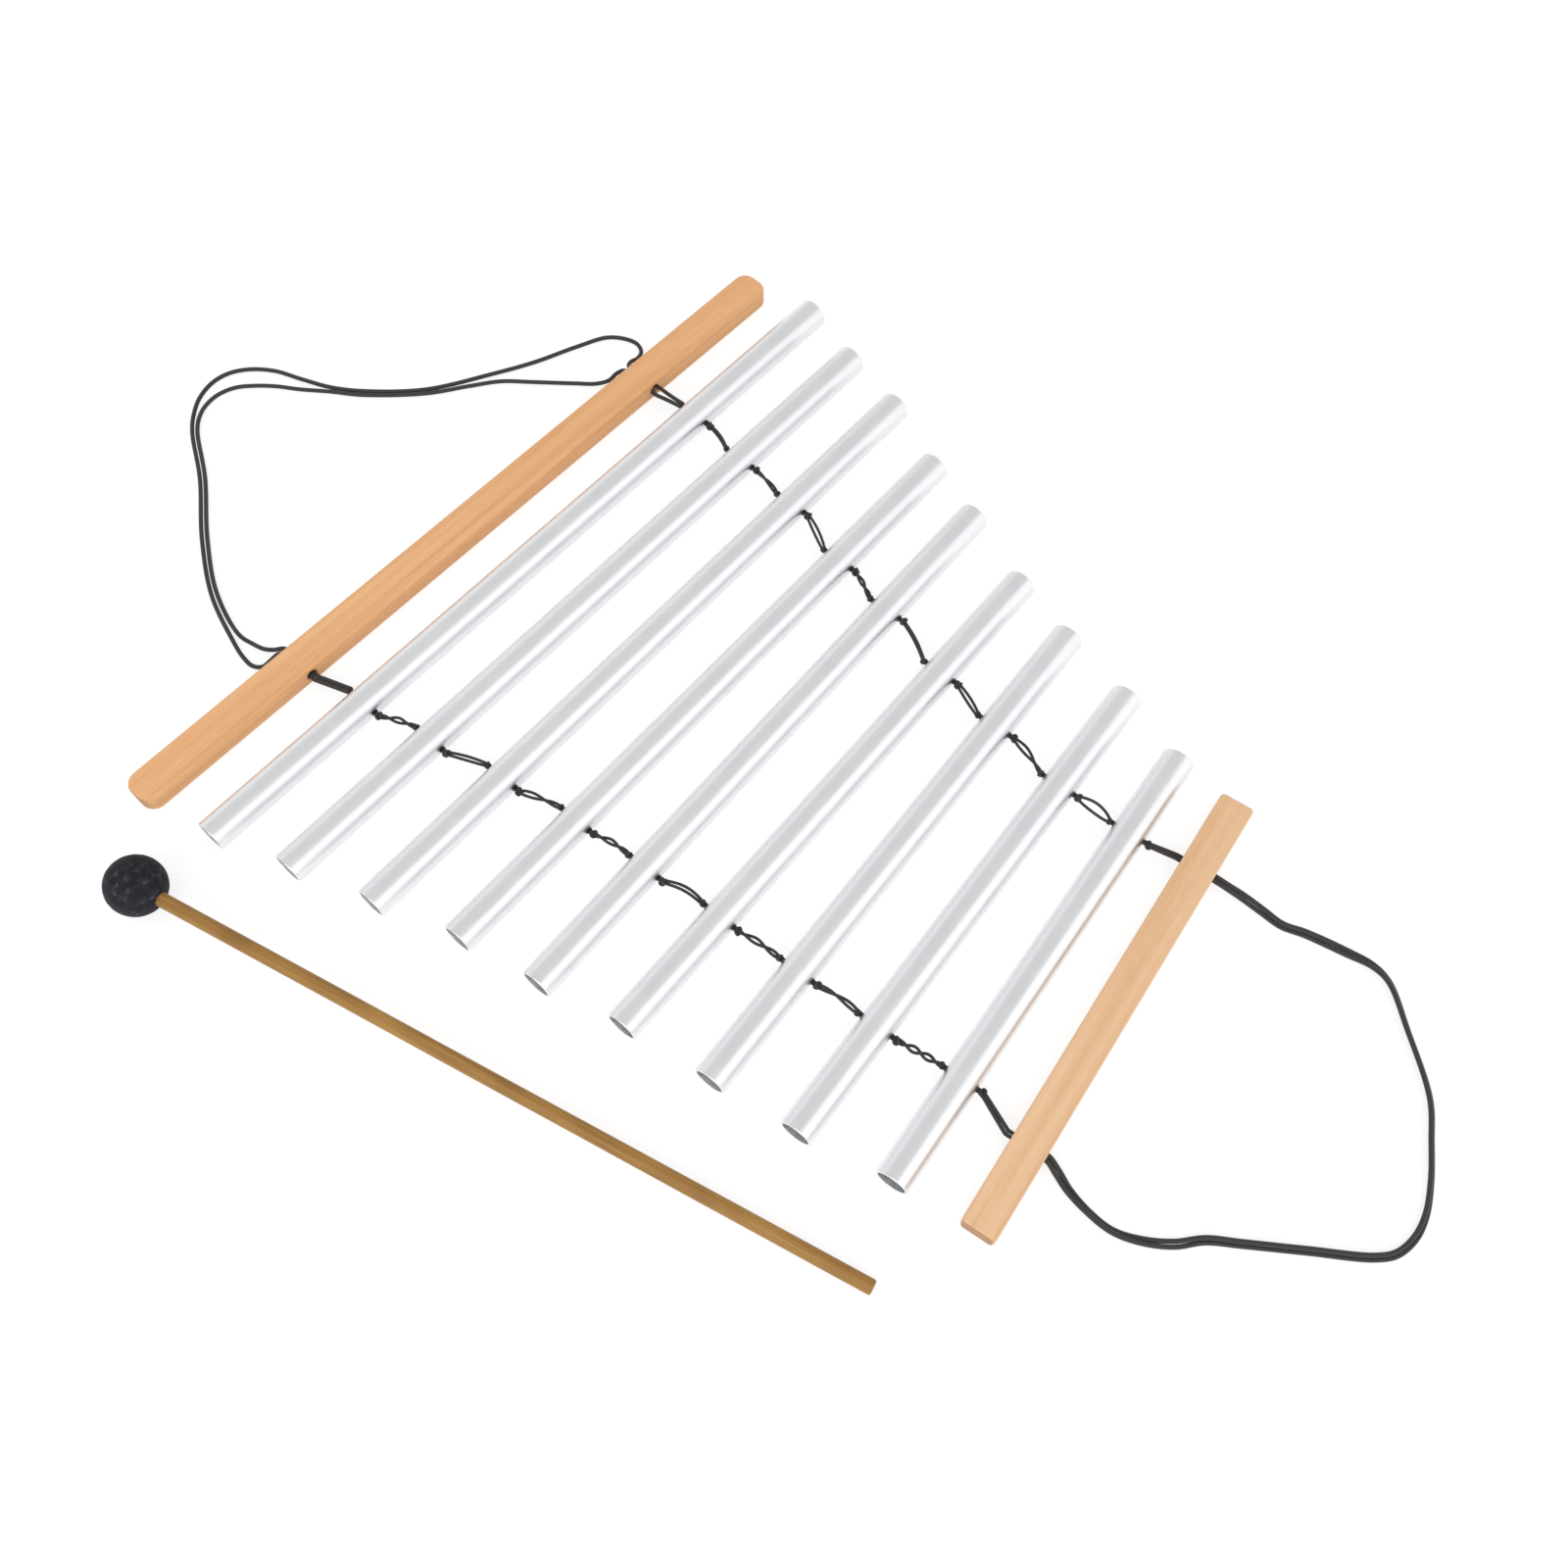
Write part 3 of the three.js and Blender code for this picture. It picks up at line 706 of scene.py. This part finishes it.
def turned_tube(rung):
    builder, _ = start_mesh()
    outline = tube_outline(rung.length)
    columns = []
    for j in range(TUBE_SIDES):
        angle = math.tau * j / TUBE_SIDES
        x, z = math.cos(angle), math.sin(angle)
        columns.append([builder.verts.new((r * x, y, r * z)) for r, y in outline])
    for j, here in enumerate(columns):
        there = columns[(j + 1) % TUBE_SIDES]
        for i in range(len(outline)):
            k = (i + 1) % len(outline)
            builder.faces.new((here[i], here[k], there[k], there[i]))
    piece = finish_mesh(f"{rung.name}_drawn", builder, aluminium)
    place_rung_piece(piece, rung)
    return piece


# %% Drill it
HOLE_SEGMENTS = 32
SLIVER = 0.003
DRILL_OVERSHOOT = 2.0


def add_cone(builder, place, inner, outer, length):
    """A cone along X about a place. It widens from inner to outer towards +X, or towards -X where
    length is negative."""
    sign = math.copysign(1, length)
    turn = Matrix.Rotation(sign * math.pi / 2, 4, "Y")
    bmesh.ops.create_cone(
        builder, cap_ends=True, segments=HOLE_SEGMENTS, radius1=inner, radius2=outer,
        depth=abs(length), matrix=Matrix.Translation(place) @ turn)


def drill_bit(radius, places, reach, material):
    """Cutters across the piece, at each place along it."""
    builder = bmesh.new()
    for place in places:
        add_cone(builder, (0, place, 0), radius, radius, 2 * reach)
    return finish_mesh("drill_bit", builder, material)


def merge_close_points(mesh, distance):
    """Takes out the slivers that a cut leaves where two edges nearly meet."""
    builder = bmesh.new()
    builder.from_mesh(mesh)
    bmesh.ops.remove_doubles(builder, verts=builder.verts, dist=distance)
    bmesh.ops.dissolve_degenerate(builder, edges=builder.edges, dist=distance)
    builder.to_mesh(mesh)
    builder.free()


def drill(piece, bit):
    bit.matrix_world = piece.matrix_world
    cut = piece.modifiers.new("drilled", "BOOLEAN")
    cut.operation = "DIFFERENCE"
    cut.solver = "EXACT"
    cut.object = bit
    bpy.context.view_layer.update()
    evaluated = piece.evaluated_get(bpy.context.evaluated_depsgraph_get())
    shaped = bpy.data.meshes.new_from_object(evaluated)
    merge_close_points(shaped, SLIVER * MM)
    piece.modifiers.clear()
    piece.data = shaped
    bpy.data.objects.remove(bit)


# how well a round wall's normal agrees with the radius, and how little it leans along the tube
WALL_AGREES = 0.995
WALL_LEANS = 0.05


def round_wall_normals(piece):
    """Sets the normals of the round walls from the tube's axis, and leaves other faces flat."""
    mesh = piece.data
    mesh.polygons.foreach_set("use_smooth", [True] * len(mesh.polygons))
    normals = [Vector((0, 0, 1))] * len(mesh.loops)
    for face in mesh.polygons:
        radial = Vector((face.center.x, 0, face.center.z)).normalized()
        facing = face.normal.dot(radial)
        for corner in face.loop_indices:
            vertex = mesh.vertices[mesh.loops[corner].vertex_index].co
            outwards = Vector((vertex.x, 0, vertex.z)).normalized()
            if abs(facing) > WALL_AGREES and abs(face.normal.y) < WALL_LEANS:
                normals[corner] = outwards if facing > 0 else -outwards
            else:
                normals[corner] = face.normal.copy()
    mesh.normals_split_custom_set([tuple(n) for n in normals])


def make_tube(rung):
    piece = turned_tube(rung)
    bpy.context.view_layer.update()
    reach = TUBE_RADIUS + DRILL_OVERSHOOT
    drill(piece, drill_bit(CORD_HOLE / 2, rung.holes.values(), reach, aluminium))
    round_wall_normals(piece)
    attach(piece, rung.name)
    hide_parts(rung.name)
    print(piece.name, "has", len(piece.data.polygons), "faces")


for rung in tubes:
    make_tube(rung)

# %% [markdown]
# ## Oiled wood
# The bars are sanded hardwood, pale and warm, with a close straight grain and no gloss. The long
# bar is the darker of the two. Grain is a noise drawn out along the bar: broad bands of growth,
# and fine dark pores a few tenths of a millimetre wide. The end grain, also where the holes cut
# through it, is coloured much darker. This is partly the wood's own darker end grain and partly
# painted shade on the bars' ends and inside the holes.

# %% Make the wood materials
# end grain colours, dark enough to also paint the shade on the bars' ends and in the holes
END_GRAIN_AND_SHADE = [(0.35, "#8f6238"), (0.65, "#c0895a")]


def oiled_wood(name, pale, middle, dark, seed):
    material = new_material(name)
    place = add_node(material, "ShaderNodeTexCoord").outputs
    shift = add_node(
        material, "ShaderNodeMapping",
        inputs={"Vector": place["Object"], "Location": (seed, seed * 2, seed * 3)})
    shifted = shift.outputs["Vector"]
    # growth bands 3 to 5 mm wide that run nearly the whole bar
    bands = stretched(material, shifted, (260.0, 7.0, 260.0))
    growth = noise_value(material, bands, 1.0, 3.0, {"Distortion": 0.4})
    # pores 0.25 mm wide and several millimetres long
    streaks = stretched(material, shifted, (3600.0, 130.0, 3600.0))
    pores = noise_value(material, streaks, 1.0, 2.0)
    grain = blended(material, 0.35, growth, pores)
    along_grain = ramp(material, grain, [(0.3, dark), (0.5, middle), (0.7, pale)])
    # faces that look along the bar are end grain, which drinks more oil; they are also painted
    # darker as shade on the bars' ends and in the holes
    facing = add_node(material, "ShaderNodeSeparateXYZ", inputs={"Vector": place["Normal"]})
    endwise = maths(material, "ABSOLUTE", facing.outputs["Y"])
    end_grain_and_shade_share = rescaled(material, endwise, 0.6, 0.98, 0.0, 0.75)
    both = add_node(
        material, "ShaderNodeMix", {"data_type": "RGBA"},
        {"Factor": end_grain_and_shade_share, 6: along_grain, 7: ramp(material, pores, END_GRAIN_AND_SHADE)})
    return finish_principled(
        material, both.outputs[2], 0.55, (pores, 0.35, 0.00006), {"IOR": 1.5})


long_wood = oiled_wood("oiled_maple_warm", "#f6c08b", "#edb37c", "#dea068", 3.0)
short_wood = oiled_wood("oiled_maple_pale", "#f2cba1", "#ebbf93", "#dfae80", 11.0)
print("made materials", long_wood.name, short_wood.name)

# %% [markdown]
# ## The bars
# A bar is a sawn batten whose ends are rounded in plan and whose edges are eased by sanding. It
# is built as a stack of outlines: each outline is drawn in by as much as the eased edge asks for
# at its height. Then it is drilled from side to side, and each hole gets a small countersink.

# %% Shape a bar
CORNER_STEPS = 8
EDGE_STEPS = 6
SMALLEST_CORNER = 0.2


def bar_plan(half_width, half_length, corner):
    """The outline seen from above, anticlockwise."""
    points = []
    centres = [(1, -1, -90), (1, 1, 0), (-1, 1, 90), (-1, -1, 180)]
    for x_sign, y_sign, start in centres:
        for step in range(CORNER_STEPS + 1):
            angle = math.radians(start + 90 * step / CORNER_STEPS)
            x = x_sign * (half_width - corner) + corner * math.cos(angle)
            y = y_sign * (half_length - corner) + corner * math.sin(angle)
            points.append((x, y))
    return points


def shaped_bar(rung, corner, edge, material):
    half_height = BAR_THICKNESS / 2
    levels = []
    for step in range(EDGE_STEPS + 1):
        angle = math.radians(90 * step / EDGE_STEPS)
        inset, rise = edge * (1 - math.sin(angle)), edge * (1 - math.cos(angle))
        levels.append((inset, -half_height + rise))
    levels += [(inset, -height) for inset, height in reversed(levels)]
    builder, wrap = start_mesh()
    rings = []
    for inset, height in levels:
        kept_corner = max(corner - inset, SMALLEST_CORNER)
        plan = bar_plan(rung.half_width - inset, rung.length / 2 - inset, kept_corner)
        rings.append([Vector((x, y, height)) for x, y in plan])
    skin_rings(builder, wrap, rings, [0.0] * len(rings))
    piece = finish_mesh(f"{rung.name}_batten", builder, material)
    place_rung_piece(piece, rung)
    return piece


# %% Drill and sink its holes
COUNTERSINK_DEPTH = 0.4
# how far the countersink starts inside the hole, so that the two cuts cross cleanly
SINK_OVERLAP = 0.1
SHARP_BAR_EDGE = math.radians(35)


def countersink(rung, depth, material):
    """Cones that widen both mouths of each hole, at 45 degrees to this depth."""
    reach = depth + SINK_OVERLAP
    tip = BAR_HOLE / 2 - SINK_OVERLAP
    builder = bmesh.new()
    for place in rung.holes.values():
        for side in (-1, 1):
            mouth = (side * rung.half_width, place, 0)
            add_cone(builder, mouth, tip, tip + 2 * reach, side * 2 * reach)
    return finish_mesh("countersink", builder, material)


def make_bar(rung, corner, edge, material):
    piece = shaped_bar(rung, corner, edge, material)
    bpy.context.view_layer.update()
    reach = rung.half_width + DRILL_OVERSHOOT
    drill(piece, drill_bit(BAR_HOLE / 2, rung.holes.values(), reach, material))
    drill(piece, countersink(rung, COUNTERSINK_DEPTH, material))
    piece.data.polygons.foreach_set("use_smooth", [True] * len(piece.data.polygons))
    piece.data.set_sharp_from_angle(angle=SHARP_BAR_EDGE)
    weighted = piece.modifiers.new("weighted_normals", "WEIGHTED_NORMAL")
    weighted.keep_sharp = True
    weighted.weight = 100
    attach(piece, rung.name)
    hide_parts(rung.name)
    print(piece.name, "has", len(piece.data.polygons), "faces")


make_bar(long_bar, corner=6.0, edge=1.6, material=long_wood)
make_bar(short_bar, corner=1.8, edge=0.9, material=short_wood)

# %% [markdown]
# ## Waxed twine
# The ladder is strung with two strands of thin black twine. Each strand is three plies laid up
# together, which show as slanting ridges. Wax gives it a faint sheen.

# %% Make the twine material
def waxed_twine():
    material = new_material("black_waxed_twine")
    along_twine = stretched(material, wrapped_place(material), (26.0, 1.6, 1.0))
    fibre = noise_value(material, along_twine, 1.0, 3.0)
    colour = ramp(material, fibre, [(0.3, "#0f0e0f"), (0.55, "#211f1f"), (0.8, "#393635")])
    return finish_principled(material, colour, 0.5, (fibre, 0.5, 0.00006), {"Sheen Weight": 0.15})


twine_material = waxed_twine()
print("made material", twine_material.name)

# %% [markdown]
# ## Strands, spans and knots
# A strand's section is a circle with three shallow lobes that turn as they go along, so the plies
# are real ridges. Across a gap the two strands lie slack, side by side or wound round each other.
# In the photograph no two gaps look the same, so each has its own turns, spread and bow. At each
# side of a tube they are tied in a small overhand knot, drawn here as a trefoil: the shape that a
# tight overhand knot has. A span starts and ends in the middle of a knot, which is also the
# middle of the hinge there, so the knot hides its end at any angle.

# %% Lay up a strand
TWINE_RADIUS = 0.65
TWINE_SIDES = 12
PLIES = 3
PLY_PITCH = 2.6
# the radius in the valleys between the plies, and how much more it is on their ridges
PLY_VALLEY = 0.88
PLY_RIDGE = 0.14
WINDING_STEPS = 32
SPAN_STEP = 0.3
# how far from the middle line each of two wound strands runs at their ends
WOUND_OFFSET = 0.45
SPREAD_POWER = 0.7


def lay_strand(builder, wrap, line, radius, sides=TWINE_SIDES):
    """Adds a three-ply strand along an evenly spaced line to the builder."""

    def three_plies(angle, distance):
        ply = abs(math.cos(PLIES / 2 * (angle + math.tau * distance / PLY_PITCH)))
        return radius * (PLY_VALLEY + PLY_RIDGE * ply)

    skin_rings(builder, wrap, *rings_along(line, sides, three_plies))


def level_across(reach):
    """The level direction to the left of a line that runs along reach."""
    return Vector((-reach.y, reach.x, 0)).normalized()


def wound_pair(start, end, turns, phase, spread, bow):
    """Two lines from start to end that wind round each other. spread is how far each stands off
    halfway, and bow is how far the pair hangs to the left of the straight line."""
    reach = end - start
    level = level_across(reach)
    upright = reach.cross(level).normalized()
    pair = []
    for strand in (0, 1):
        line = []
        for i in range(WINDING_STEPS + 1):
            t = i / WINDING_STEPS
            belly = math.sin(math.pi * t)
            angle = math.radians(phase) + strand * math.pi + math.tau * turns * t
            offset = WOUND_OFFSET + (spread - WOUND_OFFSET) * belly ** SPREAD_POWER
            out = (level * math.cos(angle) + upright * math.sin(angle)) * offset
            line.append(start + reach * t + out + level * bow * belly)
        pair.append(even_line(line, SPAN_STEP))
    return pair


# %% String the gaps between the tubes
# How the strands lie in each gap: turns, phase in degrees, spread and bow
NEAR_TWINE = {
    2: (1.0, 20, 1.0, 0.7), 3: (0.0, 10, 0.85, 0.3), 4: (0.5, 0, 1.3, 0.6),
    5: (1.0, 40, 0.9, 1.0), 6: (0.0, 25, 0.85, 1.7), 7: (1.0, 60, 1.0, 0.6),
    8: (0.5, 30, 1.1, 1.0), 9: (1.5, 0, 1.15, 0.2),
}
FAR_TWINE = {
    2: (0.0, 62, 0.65, 0.8), 3: (0.5, 50, 0.75, 0.6), 4: (0.0, 5, 1.1, 0.3),
    5: (1.0, 70, 0.75, 0.4), 6: (0.0, 66, 0.65, 0.8), 7: (0.0, 0, 1.05, 0.2),
    8: (0.5, -20, 1.3, 0.9), 9: (0.0, 10, 2.0, 0.8),
}


def string_gap(number, left, right):
    builder, wrap = start_mesh()
    for end, lies in (("near", NEAR_TWINE), ("far", FAR_TWINE)):
        start = left.bend(end, "right")
        stop = right.bend(end, "left")
        for line in wound_pair(start, stop, *lies[number]):
            lay_strand(builder, wrap, line, TWINE_RADIUS)
    piece = finish_mesh(f"gap_{number}_twine", builder, twine_material)
    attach(piece, f"cords_{number}")
    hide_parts(f"near_cord_{number}", f"far_cord_{number}")


for number in NEAR_TWINE:
    string_gap(number, rungs[number - 1], rungs[number])
print("strung the gaps between the tubes:", len(NEAR_TWINE))

# %% Tie the knots beside each tube
TREFOIL_STEPS = 60
KNOT_SIDES = 10
KNOT_TWINE = TWINE_RADIUS * 1.05
# half the distance between the two strands inside a tube
STRAND_OFFSET = 0.55
THROUGH_STEP = 0.5
# in radians, so that no two knots show the same side
SPIN_PER_TUBE = 1.3
FAR_SPIN = 0.8


def trefoil_line(centre, axis, size, turn):
    """A closed trefoil about the axis: the shape of an overhand knot drawn tight."""
    side = Vector((0, 0, 1)).cross(axis).normalized()
    up = axis.cross(side)
    line = []
    for i in range(TREFOIL_STEPS + 1):
        t = math.tau * i / TREFOIL_STEPS
        a = math.sin(t) + 2 * math.sin(2 * t)
        b = math.cos(t) - 2 * math.cos(2 * t)
        c = -math.sin(3 * t)
        spun_a = a * math.cos(turn) - b * math.sin(turn)
        spun_b = a * math.sin(turn) + b * math.cos(turn)
        flat = (side * spun_a + up * spun_b) * size / 3
        line.append(centre + flat + axis * c * size * 0.5)
    return line


def tie_tube(number, rung):
    builder, wrap = start_mesh()
    for end in ("near", "far"):
        left = rung.bend(end, "left")
        right = rung.bend(end, "right")
        for sign in (-1, 1):
            offset = rung.along * sign * STRAND_OFFSET
            through = even_line([left + offset, right + offset], THROUGH_STEP)
            lay_strand(builder, wrap, through, TWINE_RADIUS)
        spin = number * SPIN_PER_TUBE + (0.0 if end == "near" else FAR_SPIN)
        for centre, knot in ((left, LEFT_KNOT), (right, RIGHT_KNOT)):
            line = trefoil_line(centre, rung.across, knot / 2 - TWINE_RADIUS, spin)
            lay_strand(builder, wrap, line, KNOT_TWINE, sides=KNOT_SIDES)
    piece = finish_mesh(f"{rung.name}_knots", builder, twine_material)
    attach(piece, rung.name)
    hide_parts(f"{rung.name}_near_knots", f"{rung.name}_far_knots")


for number, rung in enumerate(tubes):
    tie_tube(number, rung)
print("tied the knots:", 4 * len(tubes))

# %% [markdown]
# ## Double cord beside the bars
# The stouter loop cord comes through each bar and reaches the first or the last tube, where it is
# tied to the twine. Its two strands lie side by side, and both end in a rounded stub on the line
# about which they bend, so a bent cord shows a round elbow there. Only at the long bar's far hole
# do they come out apart, as a V.

# %% Lay the double cord
# the strand's radius in the gap beside the long bar and the short bar
DOUBLE_RADII = {1: 0.95, 10: 0.8}
STRAND_AIR = 0.06
V_SPREAD = 2.2
LAST_KNOT_SPREAD = 0.55
DOUBLE_STEP = 0.25
SMALLEST_TIP = 0.15
# how much of the spread halfway comes from the start
START_SHARE = 0.35


def half_spread(rung, end, radius):
    """Half the distance between the strands where they leave a bar."""
    is_v = rung is long_bar and end == "far"
    return V_SPREAD if is_v else radius + STRAND_AIR


def lay_double_cord(builder, wrap, radius, start, end, spread_start, spread_end):
    """Two strands side by side from start to end. Each spread is half the distance between them."""
    reach = end - start
    level = level_across(reach)
    lead = reach.normalized() * radius
    spread_halfway = spread_start * START_SHARE + spread_end * (1 - START_SHARE)
    for sign in (-1, 1):
        middle = (start + end) / 2 + level * sign * spread_halfway
        first = start + level * sign * spread_start
        last = end + level * sign * spread_end
        line = smooth_line([first - lead, middle, last + lead], DOUBLE_STEP)
        total = line_length(line)

        def round_ended(angle, distance):
            inset = max(0.0, min(distance, total - distance, radius))
            tip = max(SMALLEST_TIP, math.sqrt(1 - (1 - inset / radius) ** 2))
            return radius * braided_radius(angle, distance) / LOOP_RADIUS * tip

        skin_rings(builder, wrap, *rings_along(line, CORD_SIDES, round_ended))


def double_cord_gap(number, left, right):
    builder, wrap = start_mesh()
    radius = DOUBLE_RADII[number]
    for end in ("near", "far"):
        start = left.bend(end, "right")
        stop = right.bend(end, "left")
        if number == 1:
            spreads = (half_spread(left, end, radius), radius)
        else:
            spreads = (LAST_KNOT_SPREAD, half_spread(right, end, radius))
        lay_double_cord(builder, wrap, radius, start, stop, *spreads)
    piece = finish_mesh(f"gap_{number}_double_cord", builder, loop_cord_material)
    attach(piece, f"cords_{number}")
    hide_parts(f"near_cord_{number}", f"far_cord_{number}")


def cord_in_bar(rung, side, radius):
    builder, wrap = start_mesh()
    sign = -1 if side == "left" else 1
    for end in ("near", "far"):
        middle = rung.hole(end) + rung.across * sign * (CLEARANCE / 2 + radius)
        spreads = (radius + STRAND_AIR, half_spread(rung, end, radius))
        lay_double_cord(builder, wrap, radius, middle, rung.bend(end, side), *spreads)
    piece = finish_mesh(f"{rung.name}_cord_ends", builder, loop_cord_material)
    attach(piece, rung.name)
    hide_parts(f"{rung.name}_near_cord", f"{rung.name}_far_cord")


for number in DOUBLE_RADII:
    double_cord_gap(number, rungs[number - 1], rungs[number])
cord_in_bar(long_bar, "right", DOUBLE_RADII[1])
cord_in_bar(short_bar, "left", DOUBLE_RADII[10])
print("laid the double cord beside both bars")

# %% [markdown]
# ## The mallet
# The shaft is a bamboo stick, about 6 mm thick, with long straight fibres. The head is a ball of
# dark rubber, 25 mm across, moulded and then handled: matte, nearly black with a cast of blue,
# and mottled with paler rubbed places. Its surface isn't quite round.

# %% Place the mallet
MALLET_HEAD = 12.5
MALLET_SHAFT = 3.0
MALLET_REACH = 325.0
SHAFT_IN_HEAD = 9.0
MALLET_HEADING = math.radians(11.2)
MALLET_CENTRE = Vector((-151.0, -194.6, MALLET_HEAD))

mallet_drop = math.asin((MALLET_HEAD - MALLET_SHAFT) / MALLET_REACH)
mallet_axis = Vector((
    math.cos(MALLET_HEADING) * math.cos(mallet_drop),
    math.sin(MALLET_HEADING) * math.cos(mallet_drop),
    -math.sin(mallet_drop)))
mallet_turn = Vector((0, 0, 1)).rotation_difference(mallet_axis).to_matrix().to_4x4()
mallet_place = Matrix.Translation(MALLET_CENTRE * MM) @ mallet_turn
print("mallet slopes", round(math.degrees(mallet_drop), 2), "degrees")


# %% Make the bamboo and rubber materials
BAMBOO = [(0.3, "#7a511d"), (0.5, "#a07330"), (0.72, "#ca9b4c")]
RUBBER = [(0.38, "#0f0e14"), (0.5, "#1b1a23"), (0.6, "#2b2935"), (0.7, "#55525f")]


def along_the_mallet(material):
    """Places counted from the head's middle, with Z along the stick."""
    place = add_node(material, "ShaderNodeTexCoord").outputs["Object"]
    turned = add_node(
        material, "ShaderNodeMapping", {"vector_type": "TEXTURE"},
        {"Vector": place, "Location": MALLET_CENTRE * MM, "Rotation": mallet_turn.to_euler()})
    return turned.outputs["Vector"]


def bamboo():
    material = new_material("bamboo_stick")
    place = along_the_mallet(material)
    # fibres 0.3 mm wide that run for centimetres along the stick
    fibres = noise_value(material, stretched(material, place, (3000.0, 3000.0, 25.0)), 1.0, 4.0)
    patches = noise_value(material, place, 30.0, 2.0)
    colour = ramp(material, blended(material, 0.4, fibres, patches), BAMBOO)
    return finish_principled(material, colour, 0.45, (fibres, 0.4, 0.00005), {"IOR": 1.5})


def moulded_rubber():
    material = new_material("moulded_rubber_matte")
    place = along_the_mallet(material)
    # rubbed patches 3 mm across, and a grit of 0.4 mm
    mottle = noise_value(material, place, 330.0, 5.0, {"Roughness": 0.6})
    grit = noise_value(material, place, 2400.0, 2.0)
    return finish_principled(
        material, ramp(material, mottle, RUBBER), 0.72, (grit, 0.5, 0.0001),
        {"IOR": 1.52, "Specular IOR Level": 0.3})


bamboo_material = bamboo()
rubber_material = moulded_rubber()
print("made materials", bamboo_material.name, rubber_material.name)


# %% Turn the shaft and the head
SHAFT_SIDES = 28
SHAFT_RINGS = 60
# how much the shaft's end in the ball is eased, across and along
SHAFT_EASE = (0.3, 0.4)
SHAFT_ROUNDING = 0.9
ROUNDING_STEPS = 5
HEAD_SIDES = 48
HEAD_RINGS = 32
# the air that the ball leaves round the stick
BORE_AIR = 0.05
BORE_LIP = 0.6
# how close to its axis a turned outline starts and ends
POLE_RADIUS = 0.05
POLE_ANGLE = 0.02
BAMBOO_SWELL = 0.018
RUBBER_SKIN = 0.5
SHARP_MALLET_EDGE = math.radians(40)


def turned_piece(name, outline, sides, material, shake):
    """Turns an outline of (radius, height) about Z. shake moves each point a little."""
    builder, wrap = start_mesh()
    rings = []
    for radius, height in outline:
        ring = []
        for j in range(sides):
            angle = math.tau * j / sides
            place = Vector((radius * math.cos(angle), radius * math.sin(angle), height))
            ring.append(shake(place))
        rings.append(ring)
    skin_rings(builder, wrap, rings, [height for radius, height in outline])
    piece = finish_mesh(name, builder, material)
    piece.data.transform(mallet_place)
    return piece


def shaft_outline():
    start = math.sqrt(MALLET_HEAD ** 2 - MALLET_SHAFT ** 2) - SHAFT_IN_HEAD
    inset, back = SHAFT_EASE
    outline = [(POLE_RADIUS, start), (MALLET_SHAFT - inset, start), (MALLET_SHAFT, start + back)]
    for i in range(1, SHAFT_RINGS):
        height = start + (MALLET_REACH - 1.0 - start) * i / SHAFT_RINGS
        outline.append((MALLET_SHAFT, height))
    radius, height = MALLET_SHAFT - SHAFT_ROUNDING, MALLET_REACH - SHAFT_ROUNDING
    for step in range(ROUNDING_STEPS + 1):
        angle = math.radians(90 * step / ROUNDING_STEPS)
        out, up = SHAFT_ROUNDING * math.cos(angle), SHAFT_ROUNDING * math.sin(angle)
        outline.append((radius + out, height + up))
    outline.append((POLE_RADIUS, MALLET_REACH))
    return outline


def head_outline():
    bore = MALLET_SHAFT + BORE_AIR
    top = math.sqrt(MALLET_HEAD ** 2 - bore ** 2)
    outline = []
    last = math.acos(-top / MALLET_HEAD)
    for i in range(HEAD_RINGS + 1):
        angle = max(POLE_ANGLE, last * i / HEAD_RINGS)
        outline.append((MALLET_HEAD * math.sin(angle), -MALLET_HEAD * math.cos(angle)))
    bottom = top - SHAFT_IN_HEAD
    return outline + [(bore, top - BORE_LIP), (bore, bottom), (POLE_RADIUS, bottom)]


def bamboo_shake(point):
    """The stick is a little thicker and thinner along its length."""
    swell = noise.noise(Vector((point.x * 0.4, point.y * 0.4, point.z * 0.02)))
    return point + Vector((point.x, point.y, 0)) * BAMBOO_SWELL * swell


def rubber_shake(point):
    """The ball's skin isn't quite round; the bore inside it stays as it is."""
    if point.length < MALLET_HEAD - RUBBER_SKIN:
        return point
    # broad dents of 3 mm and small ones of 1 mm, both less than 0.1 mm deep
    swell = noise.noise(point * 0.35) * 0.09 + noise.noise(point * 1.1) * 0.04 - 0.06
    return point + point.normalized() * swell


shaft = turned_piece(
    "mallet_bamboo", shaft_outline(), SHAFT_SIDES, bamboo_material, bamboo_shake)
head = turned_piece("mallet_ball", head_outline(), HEAD_SIDES, rubber_material, rubber_shake)
pieces = ((shaft, "mallet_shaft", "bamboo"), (head, "mallet_head", "mallet_rubber"))
for piece, node, slot in pieces:
    piece.data.set_sharp_from_angle(angle=SHARP_MALLET_EDGE)
    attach(piece, "mallet")
    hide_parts(node)
print("turned the mallet")
